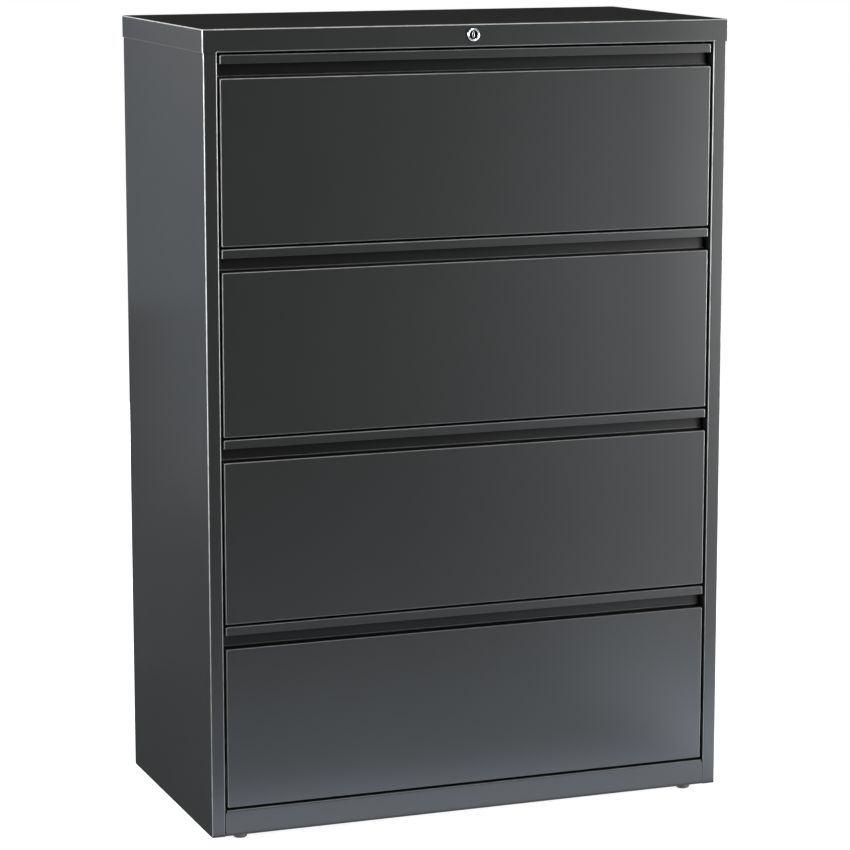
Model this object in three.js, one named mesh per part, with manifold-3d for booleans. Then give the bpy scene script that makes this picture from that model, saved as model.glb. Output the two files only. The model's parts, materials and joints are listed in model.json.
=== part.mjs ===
// A lateral filing cabinet in folded sheet steel: four drawers with finger pulls, a lock and levelling glides.
// Millimetres, +Z up. The front faces -Y, and the origin is on the floor under the middle of the cabinet.
import * as THREE from 'three';
import { mergeVertices } from 'three/addons/utils/BufferGeometryUtils.js';
import Module from 'manifold-3d';

const wasm = await Module();
wasm.setup();

// Whole cabinet
const WIDTH = 914.4; // across the two side panels
const DEPTH = 473.1; // from the stile faces to the back edge of the top
const HEIGHT = 1333.5; // from the floor to the top
const SHEET = 1; // steel sheet of the case and the drawers
const BEND = 1.5; // inside radius of a fold
const FIT = 0.3; // gap between pieces that seat on each other
const DRAWERS = 4;

// Case
const GLIDE_HEIGHT = 8; // floor to the underside of the case
const STILE_WIDTH = 23;
const STILE_RETURN = 25; // depth of the stile's inner fold
const REAR_FLANGE = 22;
const TOP_OVERHANG = 2;
const TOP_SKIRT = 37;
const TOP_RETURN = 20; // fold under the front skirt, behind the stile faces
const RAIL_HEIGHT = 44;
const RAIL_FLANGE = 30;
const PAN_HEIGHT = 22;
const WEIGHT_SIDE_GAP = 54; // counterweight to the stile line
const WEIGHT_REAR_GAP = 20;
const WEIGHT_DEPTH = 90;
const WEIGHT_HEIGHT = 22;
const UPRIGHT_DEPTH = 40;
const UPRIGHT_FOOT = 10; // upright above the underside of the case
const UPRIGHT_HEAD = 10; // upright below the top
const UPRIGHT_REAR_GAP = 4;

// Levelling glides
const GLIDE_SIDE_INSET = 53; // from the side panels to a glide's axis
const GLIDE_FRONT_INSET = 17;
const GLIDE_REAR_INSET = 45;
const GLIDE_RADIUS = 12;
const GLIDE_SOLE_RADIUS = 7.5;
const STEM_RADIUS = 4;
const STEM_LENGTH = 20;
const BOSS_RADIUS = 8;
const BOSS_HEIGHT = 8; // of the weld nut in the base rail

// Drawer fronts
const REVEAL = 3.8; // gap above and below each front
const FRONT_GAP = 4.7; // gap from a front to the stile
const FRONT_SETBACK = 1; // from the stile faces back to the fronts
const FRONT_FLANGE = 20;
const LIP_HEIGHT = 14.3;
const PULL_OPENING = 23.3;
const PULL_DEPTH = 18;
const PULL_RISE = 2; // the pull's shelf climbs towards the back

// Drawer trays and hanging frames
const TRAY_RISE = 14; // tray's underside above the front's lower edge
const TRAY_DROP = 20; // tray's rim below the panel's upper edge
const TRAY_REAR_GAP = 25;
const HANGER_SPACING = 318; // between the two file rails, middle to middle
const HANGER_THICKNESS = 3;
const HANGER_HEIGHT = 14;
const STRAP_WIDTH = 12;

// Telescopic slides
const SLIDE_WIDTH = 12.7;
const SLIDE_HEIGHT = 45;
const SLIDE_SHEET = 1.2;
const SLIDE_PLAY = 0.4; // between nested members
const SLIDE_LIP = 6;
const SLIDE_OUTER_WIDTH = 10.5;
const SLIDE_INNER_HEIGHT = 27;
const SLIDE_RISE = 50; // middle of the slide above the front's lower edge
const SLIDE_FRONT_GAP = 3;
const SLIDE_REAR_GAP = 3;

// Lock
const LOCK_DROP = 17; // from the top down to the lock's axis
const LOCK_PROUD = 4; // bezel in front of the skirt
const BEZEL_RADIUS = 10.75;
const BEZEL_EDGE = 1.2;
const BARREL_RADIUS = 9;
const BARREL_LENGTH = 22;
const PLUG_RADIUS = 7;
const PLUG_RECESS = 2;
const KEYWAY_WIDTH = 2;
const KEYWAY_HEIGHT = 8;
const KEYWAY_DEPTH = 6;
const TAIL_SIZE = 5;
const NUT_RADIUS = 12;
const NUT_THICKNESS = 4;

// Locking gear and interlock, layer behind layer
const THROW = 9.6; // travel of the link and the bars
const GEAR_SHEET = 2;
const GEAR_STEP = 3; // from one layer to the next
const CAM_ARM_RADIUS = 5;
const PIN_RADIUS = 2;
const PIN_PLAY = 0.5; // beside a pin in its slot
const CRANK_ARM = 14;
const CRANK_RADIUS = 4.5;
const CRANK_INSET = 8; // pivot behind the stile's inner edge
const PIVOT_RADIUS = 2.5;
const LINK_HALF_HEIGHT = 6;
const LINK_END = 7; // of strip beyond a pin
const BAR_WIDTH = 10.8;
const BAR_INSET = 1.4; // from the stile's inner edge
const BAR_FOOT = 20; // bar below its lowest tab
const HEAD_HALF_HEIGHT = 5;
const GUIDE_RISE = 150; // guide stud above a front's lower edge
const GUIDE_HEAD_RADIUS = 4;
const CATCH_RISE = 112;
const CATCH_SIZE = 10;
const CATCH_DEPTH = 3;
const CATCH_GAP = 2; // catch to tab, up, back and sideways

// Facets
const BEND_STEPS = 3;
const ROUND_STEPS = 24;
const HALF_ROUND_STEPS = 8;

// Planes of the case
const BACK = (DEPTH + TOP_OVERHANG + LOCK_PROUD) / 2;
const FRONT = BACK - DEPTH;
const SIDE = WIDTH / 2;
const STILE_INNER = SIDE - STILE_WIDTH;
const BACK_PANEL_FACE = BACK - TOP_OVERHANG;
const BACK_PANEL_INNER = BACK_PANEL_FACE - SHEET;
const REAR_FLANGE_FACE = BACK_PANEL_INNER - FIT;
const CASE_INNER_BACK = REAR_FLANGE_FACE - SHEET;
const SHELL_TOP = HEIGHT - SHEET - FIT; // upper edge of the sides and the back
const SKIRT_FACE = FRONT - TOP_OVERHANG;
const SKIRT_BOTTOM = HEIGHT - TOP_SKIRT;
const RAIL_TOP = GLIDE_HEIGHT + RAIL_HEIGHT;
const PAN_TOP = GLIDE_HEIGHT + PAN_HEIGHT;

// Planes of the drawers
const FRONT_HEIGHT = (SKIRT_BOTTOM - RAIL_TOP - REVEAL) / DRAWERS - REVEAL;
const FRONT_HALF = STILE_INNER - FRONT_GAP;
const PANEL_HEIGHT = FRONT_HEIGHT - LIP_HEIGHT - PULL_OPENING;
const DRAWER_Y = FRONT + FRONT_SETBACK;
const DRAWER_INNER_BACK = CASE_INNER_BACK - DRAWER_Y;
const SLIDE_SEAT = STILE_INNER - FIT;
const SLIDE_STEP = SLIDE_SHEET + SLIDE_PLAY; // from the outer member's faces to the middle one's
const MIDDLE_HALF = SLIDE_HEIGHT / 2 - SLIDE_STEP;
const TRAY_HALF = SLIDE_SEAT - SLIDE_WIDTH - FIT;
const TRAY_FRONT = SHEET + FIT;
const TRAY_BACK = DRAWER_INNER_BACK - TRAY_REAR_GAP;
const TRAY_TOP = PANEL_HEIGHT - TRAY_DROP;
const drawerBottom = (number) => RAIL_TOP + REVEAL + (DRAWERS - number) * (FRONT_HEIGHT + REVEAL);

// Layers of the locking gear, from the front to the back
const CAM_Y = FRONT + STILE_RETURN;
const LINK_Y = CAM_Y + GEAR_STEP;
const BAR_Y = LINK_Y + GEAR_STEP;
const CRANK_Y = BAR_Y + GEAR_STEP;
const UPRIGHT_Y = CRANK_Y + 2 * GEAR_STEP;

// Drive of the locking gear: a quarter turn of the plug moves the link and the bar by one throw
const ORIGIN = new THREE.Vector2();
const LOCK_AXIS = point(0, HEIGHT - LOCK_DROP);
const CAM_RADIUS = THROW * Math.SQRT1_2;
const CAM_PIN = point(0, CAM_RADIUS).rotateAround(ORIGIN, Math.PI / 4).add(LOCK_AXIS);
const LINK_Z = LOCK_AXIS.y + (CAM_RADIUS + THROW / 2) / 2;
const HALF_SWING = Math.asin(THROW / 2 / CRANK_ARM);
const CRANK_RISE = CRANK_ARM * (1 + Math.cos(HALF_SWING)) / 2;
const CRANK_PIVOT = point(STILE_INNER + CRANK_INSET, LINK_Z - CRANK_RISE);
const CRANK_UPPER_PIN = point(0, CRANK_ARM).rotateAround(ORIGIN, HALF_SWING).add(CRANK_PIVOT);
const CRANK_SIDE_PIN = point(-CRANK_ARM, 0).rotateAround(ORIGIN, HALF_SWING).add(CRANK_PIVOT);
const GUIDE_X = STILE_INNER + BAR_INSET + BAR_WIDTH / 2;
const GUIDE_HEIGHTS = [1, DRAWERS].map((number) => drawerBottom(number) + GUIDE_RISE);

const FINISHES = {
  coat: { color: 0x3d3f41, roughness: 0.45, metalness: 0.1 },
  zinc: { color: 0xb3b6b8, roughness: 0.35, metalness: 1 },
  chrome: { color: 0xd6d8da, roughness: 0.12, metalness: 1 },
  iron: { color: 0x38383a, roughness: 0.8, metalness: 0.4 },
  plastic: { color: 0x2b2b2c, roughness: 0.6, metalness: 0 },
};
const SIDES = { left: -1, right: 1 };

// Outlines
function point(x, y) {
  return new THREE.Vector2(x, y);
}

function rectangle(x0, x1, y0, y1) {
  return [point(x0, y0), point(x1, y0), point(x1, y1), point(x0, y1)];
}

function arc(centre, radius, start, sweep, steps) {
  const angles = Array.from({ length: steps + 1 }, (_, step) => start + (sweep * step) / steps);
  return angles.map((angle) => point(radius, 0).rotateAround(ORIGIN, angle).add(centre));
}

function circle(centre, radius) {
  return arc(centre, radius, 0, 2 * Math.PI, ROUND_STEPS).slice(0, -1);
}

function hexagon(centre, radius) {
  return arc(centre, radius, 0, 2 * Math.PI, 6).slice(0, -1);
}

// A rectangle whose two upper corners, or all four, are round.
function rounded(x0, x1, y0, y1, radius, lowerToo) {
  const quarter = Math.PI / 2;
  const corner = (x, y, turn) => arc(point(x, y), radius, turn * quarter, quarter, BEND_STEPS);
  const upper = [
    ...corner(x1 - radius, y1 - radius, 0),
    ...corner(x0 + radius, y1 - radius, 1),
  ];
  const lower = lowerToo
    ? [...corner(x0 + radius, y0 + radius, 2), ...corner(x1 - radius, y0 + radius, 3)]
    : [point(x0, y0), point(x1, y0)];
  return [...upper, ...lower];
}

// A strip with round ends about two points.
function stadium(from, to, radius) {
  const heading = to.clone().sub(from).angle();
  const end = (centre, start) => arc(centre, radius, start, Math.PI, HALF_ROUND_STEPS);
  return [...end(to, heading - Math.PI / 2), ...end(from, heading + Math.PI / 2)];
}

// Sheet folded along a line of corners. The sheet lies to the left of that line.
function folded(corners) {
  const face = [];
  const back = [];
  const leftOf = (along) => point(-along.y, along.x);
  corners.forEach((corner, index) => {
    const into = index > 0 ? corner.clone().sub(corners[index - 1]).normalize() : null;
    const out = index < corners.length - 1 ? corners[index + 1].clone().sub(corner).normalize() : null;
    if (!into || !out) {
      face.push(corner.clone());
      back.push(corner.clone().addScaledVector(leftOf(into ?? out), SHEET));
      return;
    }
    const side = Math.sign(into.cross(out));
    const turn = Math.acos(into.dot(out));
    const faceRadius = side > 0 ? BEND + SHEET : BEND;
    const backRadius = side > 0 ? BEND : BEND + SHEET;
    const left = leftOf(into);
    const centre = corner.clone()
      .addScaledVector(into, -faceRadius * Math.tan(turn / 2))
      .addScaledVector(left, side * faceRadius);
    const start = left.multiplyScalar(-side).angle();
    face.push(...arc(centre, faceRadius, start, side * turn, BEND_STEPS));
    back.push(...arc(centre, backRadius, start, side * turn, BEND_STEPS));
  });
  return [...face, ...back.reverse()];
}

// Solids
const AXIS_X = new THREE.Vector3(1, 0, 0);
const AXIS_Y = new THREE.Vector3(0, 1, 0);
const AXIS_Z = new THREE.Vector3(0, 0, 1);
const PRISM_FRAMES = {
  x: new THREE.Matrix4().makeBasis(AXIS_Y, AXIS_Z, AXIS_X),
  y: new THREE.Matrix4().makeBasis(AXIS_X, AXIS_Z, AXIS_Y.clone().negate()),
  z: new THREE.Matrix4(),
};

function solidOf(geometry) {
  geometry.deleteAttribute('normal');
  geometry.deleteAttribute('uv');
  const merged = mergeVertices(geometry);
  const corners = merged.index.array;
  const triangles = [];
  for (let first = 0; first < corners.length; first += 3) {
    const [a, b, c] = corners.slice(first, first + 3);
    if (a !== b && b !== c && c !== a) triangles.push(a, b, c);
  }
  return new wasm.Manifold(new wasm.Mesh({
    numProp: 3,
    vertProperties: new Float32Array(merged.attributes.position.array),
    triVerts: new Uint32Array(triangles),
  }));
}

function geometryOf(solid) {
  const mesh = solid.getMesh();
  const geometry = new THREE.BufferGeometry();
  geometry.setAttribute('position', new THREE.BufferAttribute(mesh.vertProperties, 3));
  geometry.setIndex(new THREE.BufferAttribute(mesh.triVerts, 1));
  geometry.computeVertexNormals();
  return geometry;
}

// An outline drawn out along an axis: (y, z) along x, (x, z) along y and (x, y) along z.
function prism(axis, low, high, outline, holes = []) {
  const shape = new THREE.Shape(outline);
  shape.holes = holes.map((hole) => new THREE.Path(hole));
  const geometry = new THREE.ExtrudeGeometry(shape, { depth: high - low, bevelEnabled: false });
  geometry.translate(0, 0, axis === 'y' ? -high : low);
  return solidOf(geometry.applyMatrix4(PRISM_FRAMES[axis]));
}

function block(x0, x1, y0, y1, z0, z1) {
  return prism('z', z0, z1, rectangle(x0, x1, y0, y1));
}

// A block whose upright edges and upper edges are round.
function lid(x0, x1, y0, y1, z0, z1, radius) {
  return prism('z', z0, z1, rounded(x0, x1, y0, y1, radius, true))
    .intersect(prism('y', y0, y1, rounded(x0, x1, z0, z1, radius, false)))
    .intersect(prism('x', x0, x1, rounded(y0, y1, z0, z1, radius, false)));
}

// A profile of (radius, y) turned about the lock's axis.
function turnedAboutLock(profile) {
  const geometry = new THREE.LatheGeometry(profile, ROUND_STEPS);
  return solidOf(geometry.translate(LOCK_AXIS.x, 0, LOCK_AXIS.y));
}

function pinAt(centre, radius, y0, y1) {
  return prism('y', y0, y1, circle(centre, radius));
}

// Case pieces, drawn for the right-hand side where there are two
function sidePanel() {
  const plan = folded([
    point(STILE_INNER, FRONT + STILE_RETURN),
    point(STILE_INNER, FRONT),
    point(SIDE, FRONT),
    point(SIDE, REAR_FLANGE_FACE),
    point(SIDE - REAR_FLANGE, REAR_FLANGE_FACE),
  ]);
  return prism('z', GLIDE_HEIGHT, SHELL_TOP, plan);
}

function backPanel() {
  return block(-SIDE, SIDE, BACK_PANEL_INNER, BACK_PANEL_FACE, GLIDE_HEIGHT, SHELL_TOP);
}

function topPanel() {
  const half = SIDE + TOP_OVERHANG;
  const outer = lid(-half, half, SKIRT_FACE, BACK, SKIRT_BOTTOM, HEIGHT, BEND + SHEET);
  const hollow = lid(
    -half + SHEET, half - SHEET,
    SKIRT_FACE + SHEET, BACK - SHEET,
    SKIRT_BOTTOM - SHEET, HEIGHT - SHEET, BEND,
  );
  const underfold = block(
    -STILE_INNER + FIT, STILE_INNER - FIT,
    SKIRT_FACE + SHEET / 2, FRONT + TOP_RETURN,
    SKIRT_BOTTOM, SKIRT_BOTTOM + SHEET,
  );
  const lockHole = pinAt(LOCK_AXIS, BARREL_RADIUS + FIT, SKIRT_FACE - SHEET, SKIRT_FACE + 2 * SHEET);
  return outer.subtract(hollow).add(underfold).subtract(lockHole);
}

function baseRail() {
  const half = STILE_INNER - FIT;
  const section = folded([
    point(FRONT + RAIL_FLANGE, RAIL_TOP),
    point(FRONT, RAIL_TOP),
    point(FRONT, GLIDE_HEIGHT),
    point(FRONT + RAIL_FLANGE, GLIDE_HEIGHT),
  ]);
  let rail = prism('x', -half, half, section);
  const bossTop = GLIDE_HEIGHT + SHEET + BOSS_HEIGHT;
  for (const axis of glideAxes().filter((glide) => glide.front)) {
    const boss = prism('z', GLIDE_HEIGHT + SHEET / 2, bossTop, circle(axis.at, BOSS_RADIUS));
    const bore = prism('z', 0, bossTop + SHEET, circle(axis.at, STEM_RADIUS + FIT));
    rail = rail.add(boss).subtract(bore);
  }
  return rail;
}

function basePan() {
  const half = STILE_INNER - FIT;
  const y0 = FRONT + RAIL_FLANGE + FIT;
  const y1 = BACK_PANEL_INNER - FIT;
  const hollow = block(-half + SHEET, half - SHEET, y0 + SHEET, y1 - SHEET, 0, PAN_TOP - SHEET);
  let pan = block(-half, half, y0, y1, GLIDE_HEIGHT, PAN_TOP).subtract(hollow);
  for (const axis of glideAxes().filter((glide) => !glide.front)) {
    const boss = prism('z', GLIDE_HEIGHT, PAN_TOP - SHEET / 2, circle(axis.at, BOSS_RADIUS));
    const bore = prism('z', 0, PAN_TOP + SHEET, circle(axis.at, STEM_RADIUS + FIT));
    pan = pan.add(boss).subtract(bore);
  }
  return pan;
}

function counterweight() {
  const half = STILE_INNER - WEIGHT_SIDE_GAP;
  const y1 = BACK_PANEL_INNER - WEIGHT_REAR_GAP;
  const z0 = PAN_TOP + FIT;
  return block(-half, half, y1 - WEIGHT_DEPTH, y1, z0, z0 + WEIGHT_HEIGHT);
}

// A channel against the side panel. Its web carries the slides.
function upright(y0) {
  const y1 = y0 + UPRIGHT_DEPTH;
  const seat = SIDE - SHEET - FIT;
  const plan = folded([
    point(seat, y1),
    point(STILE_INNER, y1),
    point(STILE_INNER, y0),
    point(seat, y0),
  ]);
  return prism('z', GLIDE_HEIGHT + UPRIGHT_FOOT, HEIGHT - UPRIGHT_HEAD, plan);
}

// The front upright has headed studs that guide a bar, and on the lock's side the crank's pivot.
function frontUpright(withPivot) {
  const root = UPRIGHT_Y + SHEET / 2;
  const guides = GUIDE_HEIGHTS.map((z) => point(GUIDE_X, z));
  let channel = upright(UPRIGHT_Y);
  for (const guide of guides) {
    const stud = pinAt(guide, PIVOT_RADIUS, BAR_Y - FIT, root);
    const head = pinAt(guide, GUIDE_HEAD_RADIUS, BAR_Y - FIT - GEAR_SHEET, BAR_Y - FIT);
    channel = channel.add(stud).add(head);
  }
  const pivot = pinAt(CRANK_PIVOT, PIVOT_RADIUS, CRANK_Y - FIT, root);
  return withPivot ? channel.add(pivot) : channel;
}

function rearUpright() {
  return upright(CASE_INNER_BACK - UPRIGHT_REAR_GAP - UPRIGHT_DEPTH);
}

// Levelling glides
function glideAxes() {
  const x = SIDE - GLIDE_SIDE_INSET;
  const front = FRONT + GLIDE_FRONT_INSET;
  const rear = BACK_PANEL_INNER - GLIDE_REAR_INSET;
  return Object.entries(SIDES).flatMap(([side, sign]) => [
    { name: `glide_front_${side}`, at: point(sign * x, front), front: true },
    { name: `glide_rear_${side}`, at: point(sign * x, rear), front: false },
  ]);
}

function glide(at) {
  const footTop = GLIDE_HEIGHT - FIT;
  const shoulder = footTop / 2;
  const crown = new THREE.QuadraticBezierCurve(
    point(GLIDE_SOLE_RADIUS, 0),
    point(GLIDE_RADIUS, 0),
    point(GLIDE_RADIUS, shoulder),
  );
  const profile = [
    point(0, 0),
    ...crown.getPoints(BEND_STEPS + 1),
    point(GLIDE_RADIUS, footTop),
    point(STEM_RADIUS, footTop),
    point(STEM_RADIUS, footTop + STEM_LENGTH),
    point(0, footTop + STEM_LENGTH),
  ];
  const geometry = new THREE.LatheGeometry(profile, ROUND_STEPS).rotateX(Math.PI / 2);
  return solidOf(geometry.translate(at.x, at.y, 0));
}

// Lock pieces
function lockHousing() {
  const face = SKIRT_FACE - LOCK_PROUD;
  const bore = PLUG_RADIUS + FIT;
  const edge = new THREE.QuadraticBezierCurve(
    point(BEZEL_RADIUS - BEZEL_EDGE, face),
    point(BEZEL_RADIUS, face),
    point(BEZEL_RADIUS, face + BEZEL_EDGE),
  );
  return turnedAboutLock([
    point(bore, face),
    ...edge.getPoints(BEND_STEPS),
    point(BEZEL_RADIUS, SKIRT_FACE),
    point(BARREL_RADIUS, SKIRT_FACE),
    point(BARREL_RADIUS, SKIRT_FACE + BARREL_LENGTH),
    point(bore, SKIRT_FACE + BARREL_LENGTH),
    point(bore, face),
  ]);
}

function lockNut() {
  const y0 = SKIRT_FACE + SHEET;
  return prism('y', y0, y0 + NUT_THICKNESS, hexagon(LOCK_AXIS, NUT_RADIUS), [
    circle(LOCK_AXIS, BARREL_RADIUS + FIT),
  ]);
}

function lockPlug() {
  const face = SKIRT_FACE - LOCK_PROUD + PLUG_RECESS;
  const heel = SKIRT_FACE + BARREL_LENGTH;
  const tail = TAIL_SIZE / 2;
  const keyway = block(
    -KEYWAY_WIDTH / 2, KEYWAY_WIDTH / 2,
    face - SHEET, face + KEYWAY_DEPTH,
    LOCK_AXIS.y - KEYWAY_HEIGHT / 2, LOCK_AXIS.y + KEYWAY_HEIGHT / 2,
  );
  const tailBar = block(
    -tail, tail,
    heel - SHEET, CAM_Y + GEAR_SHEET + FIT,
    LOCK_AXIS.y - tail, LOCK_AXIS.y + tail,
  );
  return pinAt(LOCK_AXIS, PLUG_RADIUS, face, heel).subtract(keyway).add(tailBar);
}

function lockCam() {
  const half = TAIL_SIZE / 2 + FIT;
  const z = LOCK_AXIS.y;
  const arm = prism('y', CAM_Y, CAM_Y + GEAR_SHEET, stadium(LOCK_AXIS, CAM_PIN, CAM_ARM_RADIUS), [
    rectangle(-half, half, z - half, z + half),
  ]);
  return arm.add(pinAt(CAM_PIN, PIN_RADIUS, CAM_Y + GEAR_SHEET / 2, LINK_Y + GEAR_SHEET + FIT));
}

// A strip with an upright slot at each end: the pins in them swing, so each rises and falls a little.
function lockLink() {
  const slotRadius = PIN_RADIUS + PIN_PLAY;
  const z0 = LINK_Z - LINK_HALF_HEIGHT;
  const z1 = LINK_Z + LINK_HALF_HEIGHT;
  const camSlot = stadium(CAM_PIN, point(CAM_PIN.x, LOCK_AXIS.y + CAM_RADIUS), slotRadius);
  const crankTop = point(CRANK_UPPER_PIN.x, CRANK_PIVOT.y + CRANK_ARM);
  const crankSlot = stadium(CRANK_UPPER_PIN, crankTop, slotRadius);
  const strip = rectangle(CAM_PIN.x - LINK_END, CRANK_UPPER_PIN.x + LINK_END, z0, z1);
  return prism('y', LINK_Y, LINK_Y + GEAR_SHEET, strip, [camSlot, crankSlot]);
}

function lockCrank() {
  const y1 = CRANK_Y + GEAR_SHEET;
  const root = CRANK_Y + GEAR_SHEET / 2;
  return prism('y', CRANK_Y, y1, stadium(CRANK_PIVOT, CRANK_UPPER_PIN, CRANK_RADIUS))
    .add(prism('y', CRANK_Y, y1, stadium(CRANK_PIVOT, CRANK_SIDE_PIN, CRANK_RADIUS)))
    .subtract(pinAt(CRANK_PIVOT, PIVOT_RADIUS + FIT, CRANK_Y - SHEET, y1 + SHEET))
    .add(pinAt(CRANK_UPPER_PIN, PIN_RADIUS, LINK_Y - FIT, root))
    .add(pinAt(CRANK_SIDE_PIN, PIN_RADIUS, BAR_Y - FIT, root));
}

// A strip behind a stile with one tab for each drawer. It hangs on the upright's studs.
function drawerBar(top) {
  const y1 = BAR_Y + GEAR_SHEET;
  const x0 = STILE_INNER + BAR_INSET;
  const tabTop = CATCH_RISE - CATCH_GAP;
  const tabTip = TRAY_HALF + CATCH_GAP;
  const z0 = drawerBottom(DRAWERS) + tabTop - CATCH_SIZE - BAR_FOOT;
  let bar = prism('y', BAR_Y, y1, rectangle(x0, x0 + BAR_WIDTH, z0, top));
  for (let number = 1; number <= DRAWERS; number += 1) {
    const z1 = drawerBottom(number) + tabTop;
    bar = bar.add(prism('y', BAR_Y, y1, rectangle(tabTip, x0 + SHEET, z1 - CATCH_SIZE, z1)));
  }
  for (const z of GUIDE_HEIGHTS) {
    const slot = stadium(point(GUIDE_X, z - THROW), point(GUIDE_X, z), PIVOT_RADIUS + FIT);
    bar = bar.subtract(prism('y', BAR_Y - SHEET, y1 + SHEET, slot));
  }
  return bar;
}

// The lock's bar has a wide head, with a level slot for the crank's side pin.
function lockBar() {
  const y1 = BAR_Y + GEAR_SHEET;
  const reach = point(CRANK_PIVOT.x - CRANK_ARM, CRANK_SIDE_PIN.y);
  const slotRadius = PIN_RADIUS + PIN_PLAY;
  const z0 = CRANK_SIDE_PIN.y - HEAD_HALF_HEIGHT;
  const z1 = CRANK_SIDE_PIN.y + HEAD_HALF_HEIGHT;
  const head = rectangle(reach.x - HEAD_HALF_HEIGHT, STILE_INNER + BAR_INSET + BAR_WIDTH, z0, z1);
  return drawerBar(z1)
    .add(prism('y', BAR_Y, y1, head))
    .subtract(prism('y', BAR_Y - SHEET, y1 + SHEET, stadium(reach, CRANK_SIDE_PIN, slotRadius)));
}

function interlockBar() {
  return drawerBar(drawerBottom(1) + GUIDE_RISE + BAR_FOOT);
}

// Drawer pieces, with the front's face at y = 0 and its lower edge at z = 0
function drawerFront() {
  const section = folded([
    point(SHEET, FRONT_HEIGHT - LIP_HEIGHT),
    point(SHEET, FRONT_HEIGHT - SHEET),
    point(PULL_DEPTH, FRONT_HEIGHT - SHEET),
    point(PULL_DEPTH, PANEL_HEIGHT + PULL_RISE),
    point(0, PANEL_HEIGHT),
    point(0, 0),
    point(FRONT_FLANGE, 0),
  ]);
  // Below the shelf the ends are closed. The pull above it is open at both ends.
  const shelfRise = (at) => (at.y > PANEL_HEIGHT / 2 ? -at.x * PULL_RISE / PULL_DEPTH : 0);
  const end = rounded(-FRONT_FLANGE, 0, 0, PANEL_HEIGHT - SHEET / 2, BEND + SHEET, true)
    .map((at) => point(-at.x, at.y + shelfRise(at)));
  const plan = rounded(-FRONT_HALF, FRONT_HALF, -FRONT_FLANGE, 0, BEND + SHEET, false)
    .map((at) => point(at.x, -at.y));
  return prism('x', -FRONT_HALF, FRONT_HALF, section)
    .add(prism('x', -FRONT_HALF, -FRONT_HALF + SHEET, end))
    .add(prism('x', FRONT_HALF - SHEET, FRONT_HALF, end))
    .intersect(prism('z', -SHEET, FRONT_HEIGHT + SHEET, plan));
}

function drawerTray() {
  const inner = TRAY_HALF - SHEET;
  const catchFront = BAR_Y + GEAR_SHEET + CATCH_GAP - DRAWER_Y;
  const catchTip = SLIDE_SEAT - CATCH_GAP;
  let tray = block(-TRAY_HALF, TRAY_HALF, TRAY_FRONT, TRAY_BACK, TRAY_RISE, TRAY_TOP).subtract(
    block(-inner, inner, TRAY_FRONT + SHEET, TRAY_BACK - SHEET, TRAY_RISE + SHEET, TRAY_TOP + SHEET),
  );
  for (const sign of Object.values(SIDES)) {
    const ends = [sign * (inner + SHEET / 2), sign * catchTip].sort((a, b) => a - b);
    tray = tray.add(block(
      ...ends,
      catchFront, catchFront + CATCH_DEPTH,
      CATCH_RISE, CATCH_RISE + CATCH_SIZE,
    ));
  }
  return tray;
}

// Two rails for hanging files, on straps that lie on the tray's rim.
function hangingFrame() {
  const middle = (TRAY_FRONT + TRAY_BACK) / 2;
  const reach = (HANGER_SPACING + HANGER_THICKNESS) / 2;
  const z0 = TRAY_TOP + FIT;
  const z1 = z0 + HANGER_THICKNESS;
  const span = TRAY_HALF - SHEET - FIT;
  const rail = (y) => block(
    -span, span,
    y - HANGER_THICKNESS / 2, y + HANGER_THICKNESS / 2,
    z1 - HANGER_HEIGHT, z1,
  );
  return rail(middle - HANGER_SPACING / 2)
    .add(rail(middle + HANGER_SPACING / 2))
    .add(block(-TRAY_HALF, -TRAY_HALF + STRAP_WIDTH, middle - reach, middle + reach, z0, z1))
    .add(block(TRAY_HALF - STRAP_WIDTH, TRAY_HALF, middle - reach, middle + reach, z0, z1));
}

// A slide member along y. Its section is given from the seat on the upright inwards.
function slideMember(section) {
  const outline = section.map((at) => point(SLIDE_SEAT - at.x, SLIDE_RISE + at.y));
  const y0 = FRONT_FLANGE + SLIDE_FRONT_GAP;
  return prism('y', y0, DRAWER_INNER_BACK - SLIDE_REAR_GAP, outline);
}

// A channel with inturned lips, from its web at u0 to its lips at u1.
function lippedChannel(u0, u1, half, lip) {
  const bottom = [
    point(u0, -half),
    point(u1, -half),
    point(u1, lip - half),
    point(u1 - SLIDE_SHEET, lip - half),
    point(u1 - SLIDE_SHEET, SLIDE_SHEET - half),
    point(u0 + SLIDE_SHEET, SLIDE_SHEET - half),
  ];
  return [...bottom, ...bottom.map((at) => point(at.x, -at.y)).reverse()];
}

function slideOuter() {
  return slideMember(lippedChannel(0, SLIDE_OUTER_WIDTH, SLIDE_HEIGHT / 2, SLIDE_LIP));
}

function slideMiddle() {
  const lip = MIDDLE_HALF - SLIDE_INNER_HEIGHT / 2 - 2 * SLIDE_PLAY;
  return slideMember(lippedChannel(SLIDE_STEP, SLIDE_OUTER_WIDTH - SLIDE_STEP, MIDDLE_HALF, lip));
}

// A hat section: its web is screwed to the tray and its brims run inside the middle member.
function slideInner() {
  const brim = SLIDE_STEP + SLIDE_SHEET + SLIDE_PLAY;
  const brimHalf = MIDDLE_HALF - SLIDE_STEP;
  const half = SLIDE_INNER_HEIGHT / 2;
  const bottom = [
    point(brim, -brimHalf),
    point(brim + SLIDE_SHEET, -brimHalf),
    point(brim + SLIDE_SHEET, -half),
    point(SLIDE_WIDTH, -half),
  ];
  const inside = [
    point(SLIDE_WIDTH - SLIDE_SHEET, SLIDE_SHEET - half),
    point(brim, SLIDE_SHEET - half),
  ];
  const mirrored = (points) => points.map((at) => point(at.x, -at.y)).reverse();
  return slideMember([...bottom, ...mirrored(bottom), ...mirrored(inside), ...inside]);
}

// Assembly
function add(parent, name, solid, finish, mirror = 1) {
  const mesh = new THREE.Mesh(geometryOf(solid), new THREE.MeshStandardMaterial(FINISHES[finish]));
  mesh.name = name;
  mesh.scale.x = mirror;
  parent.add(mesh);
}

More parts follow.
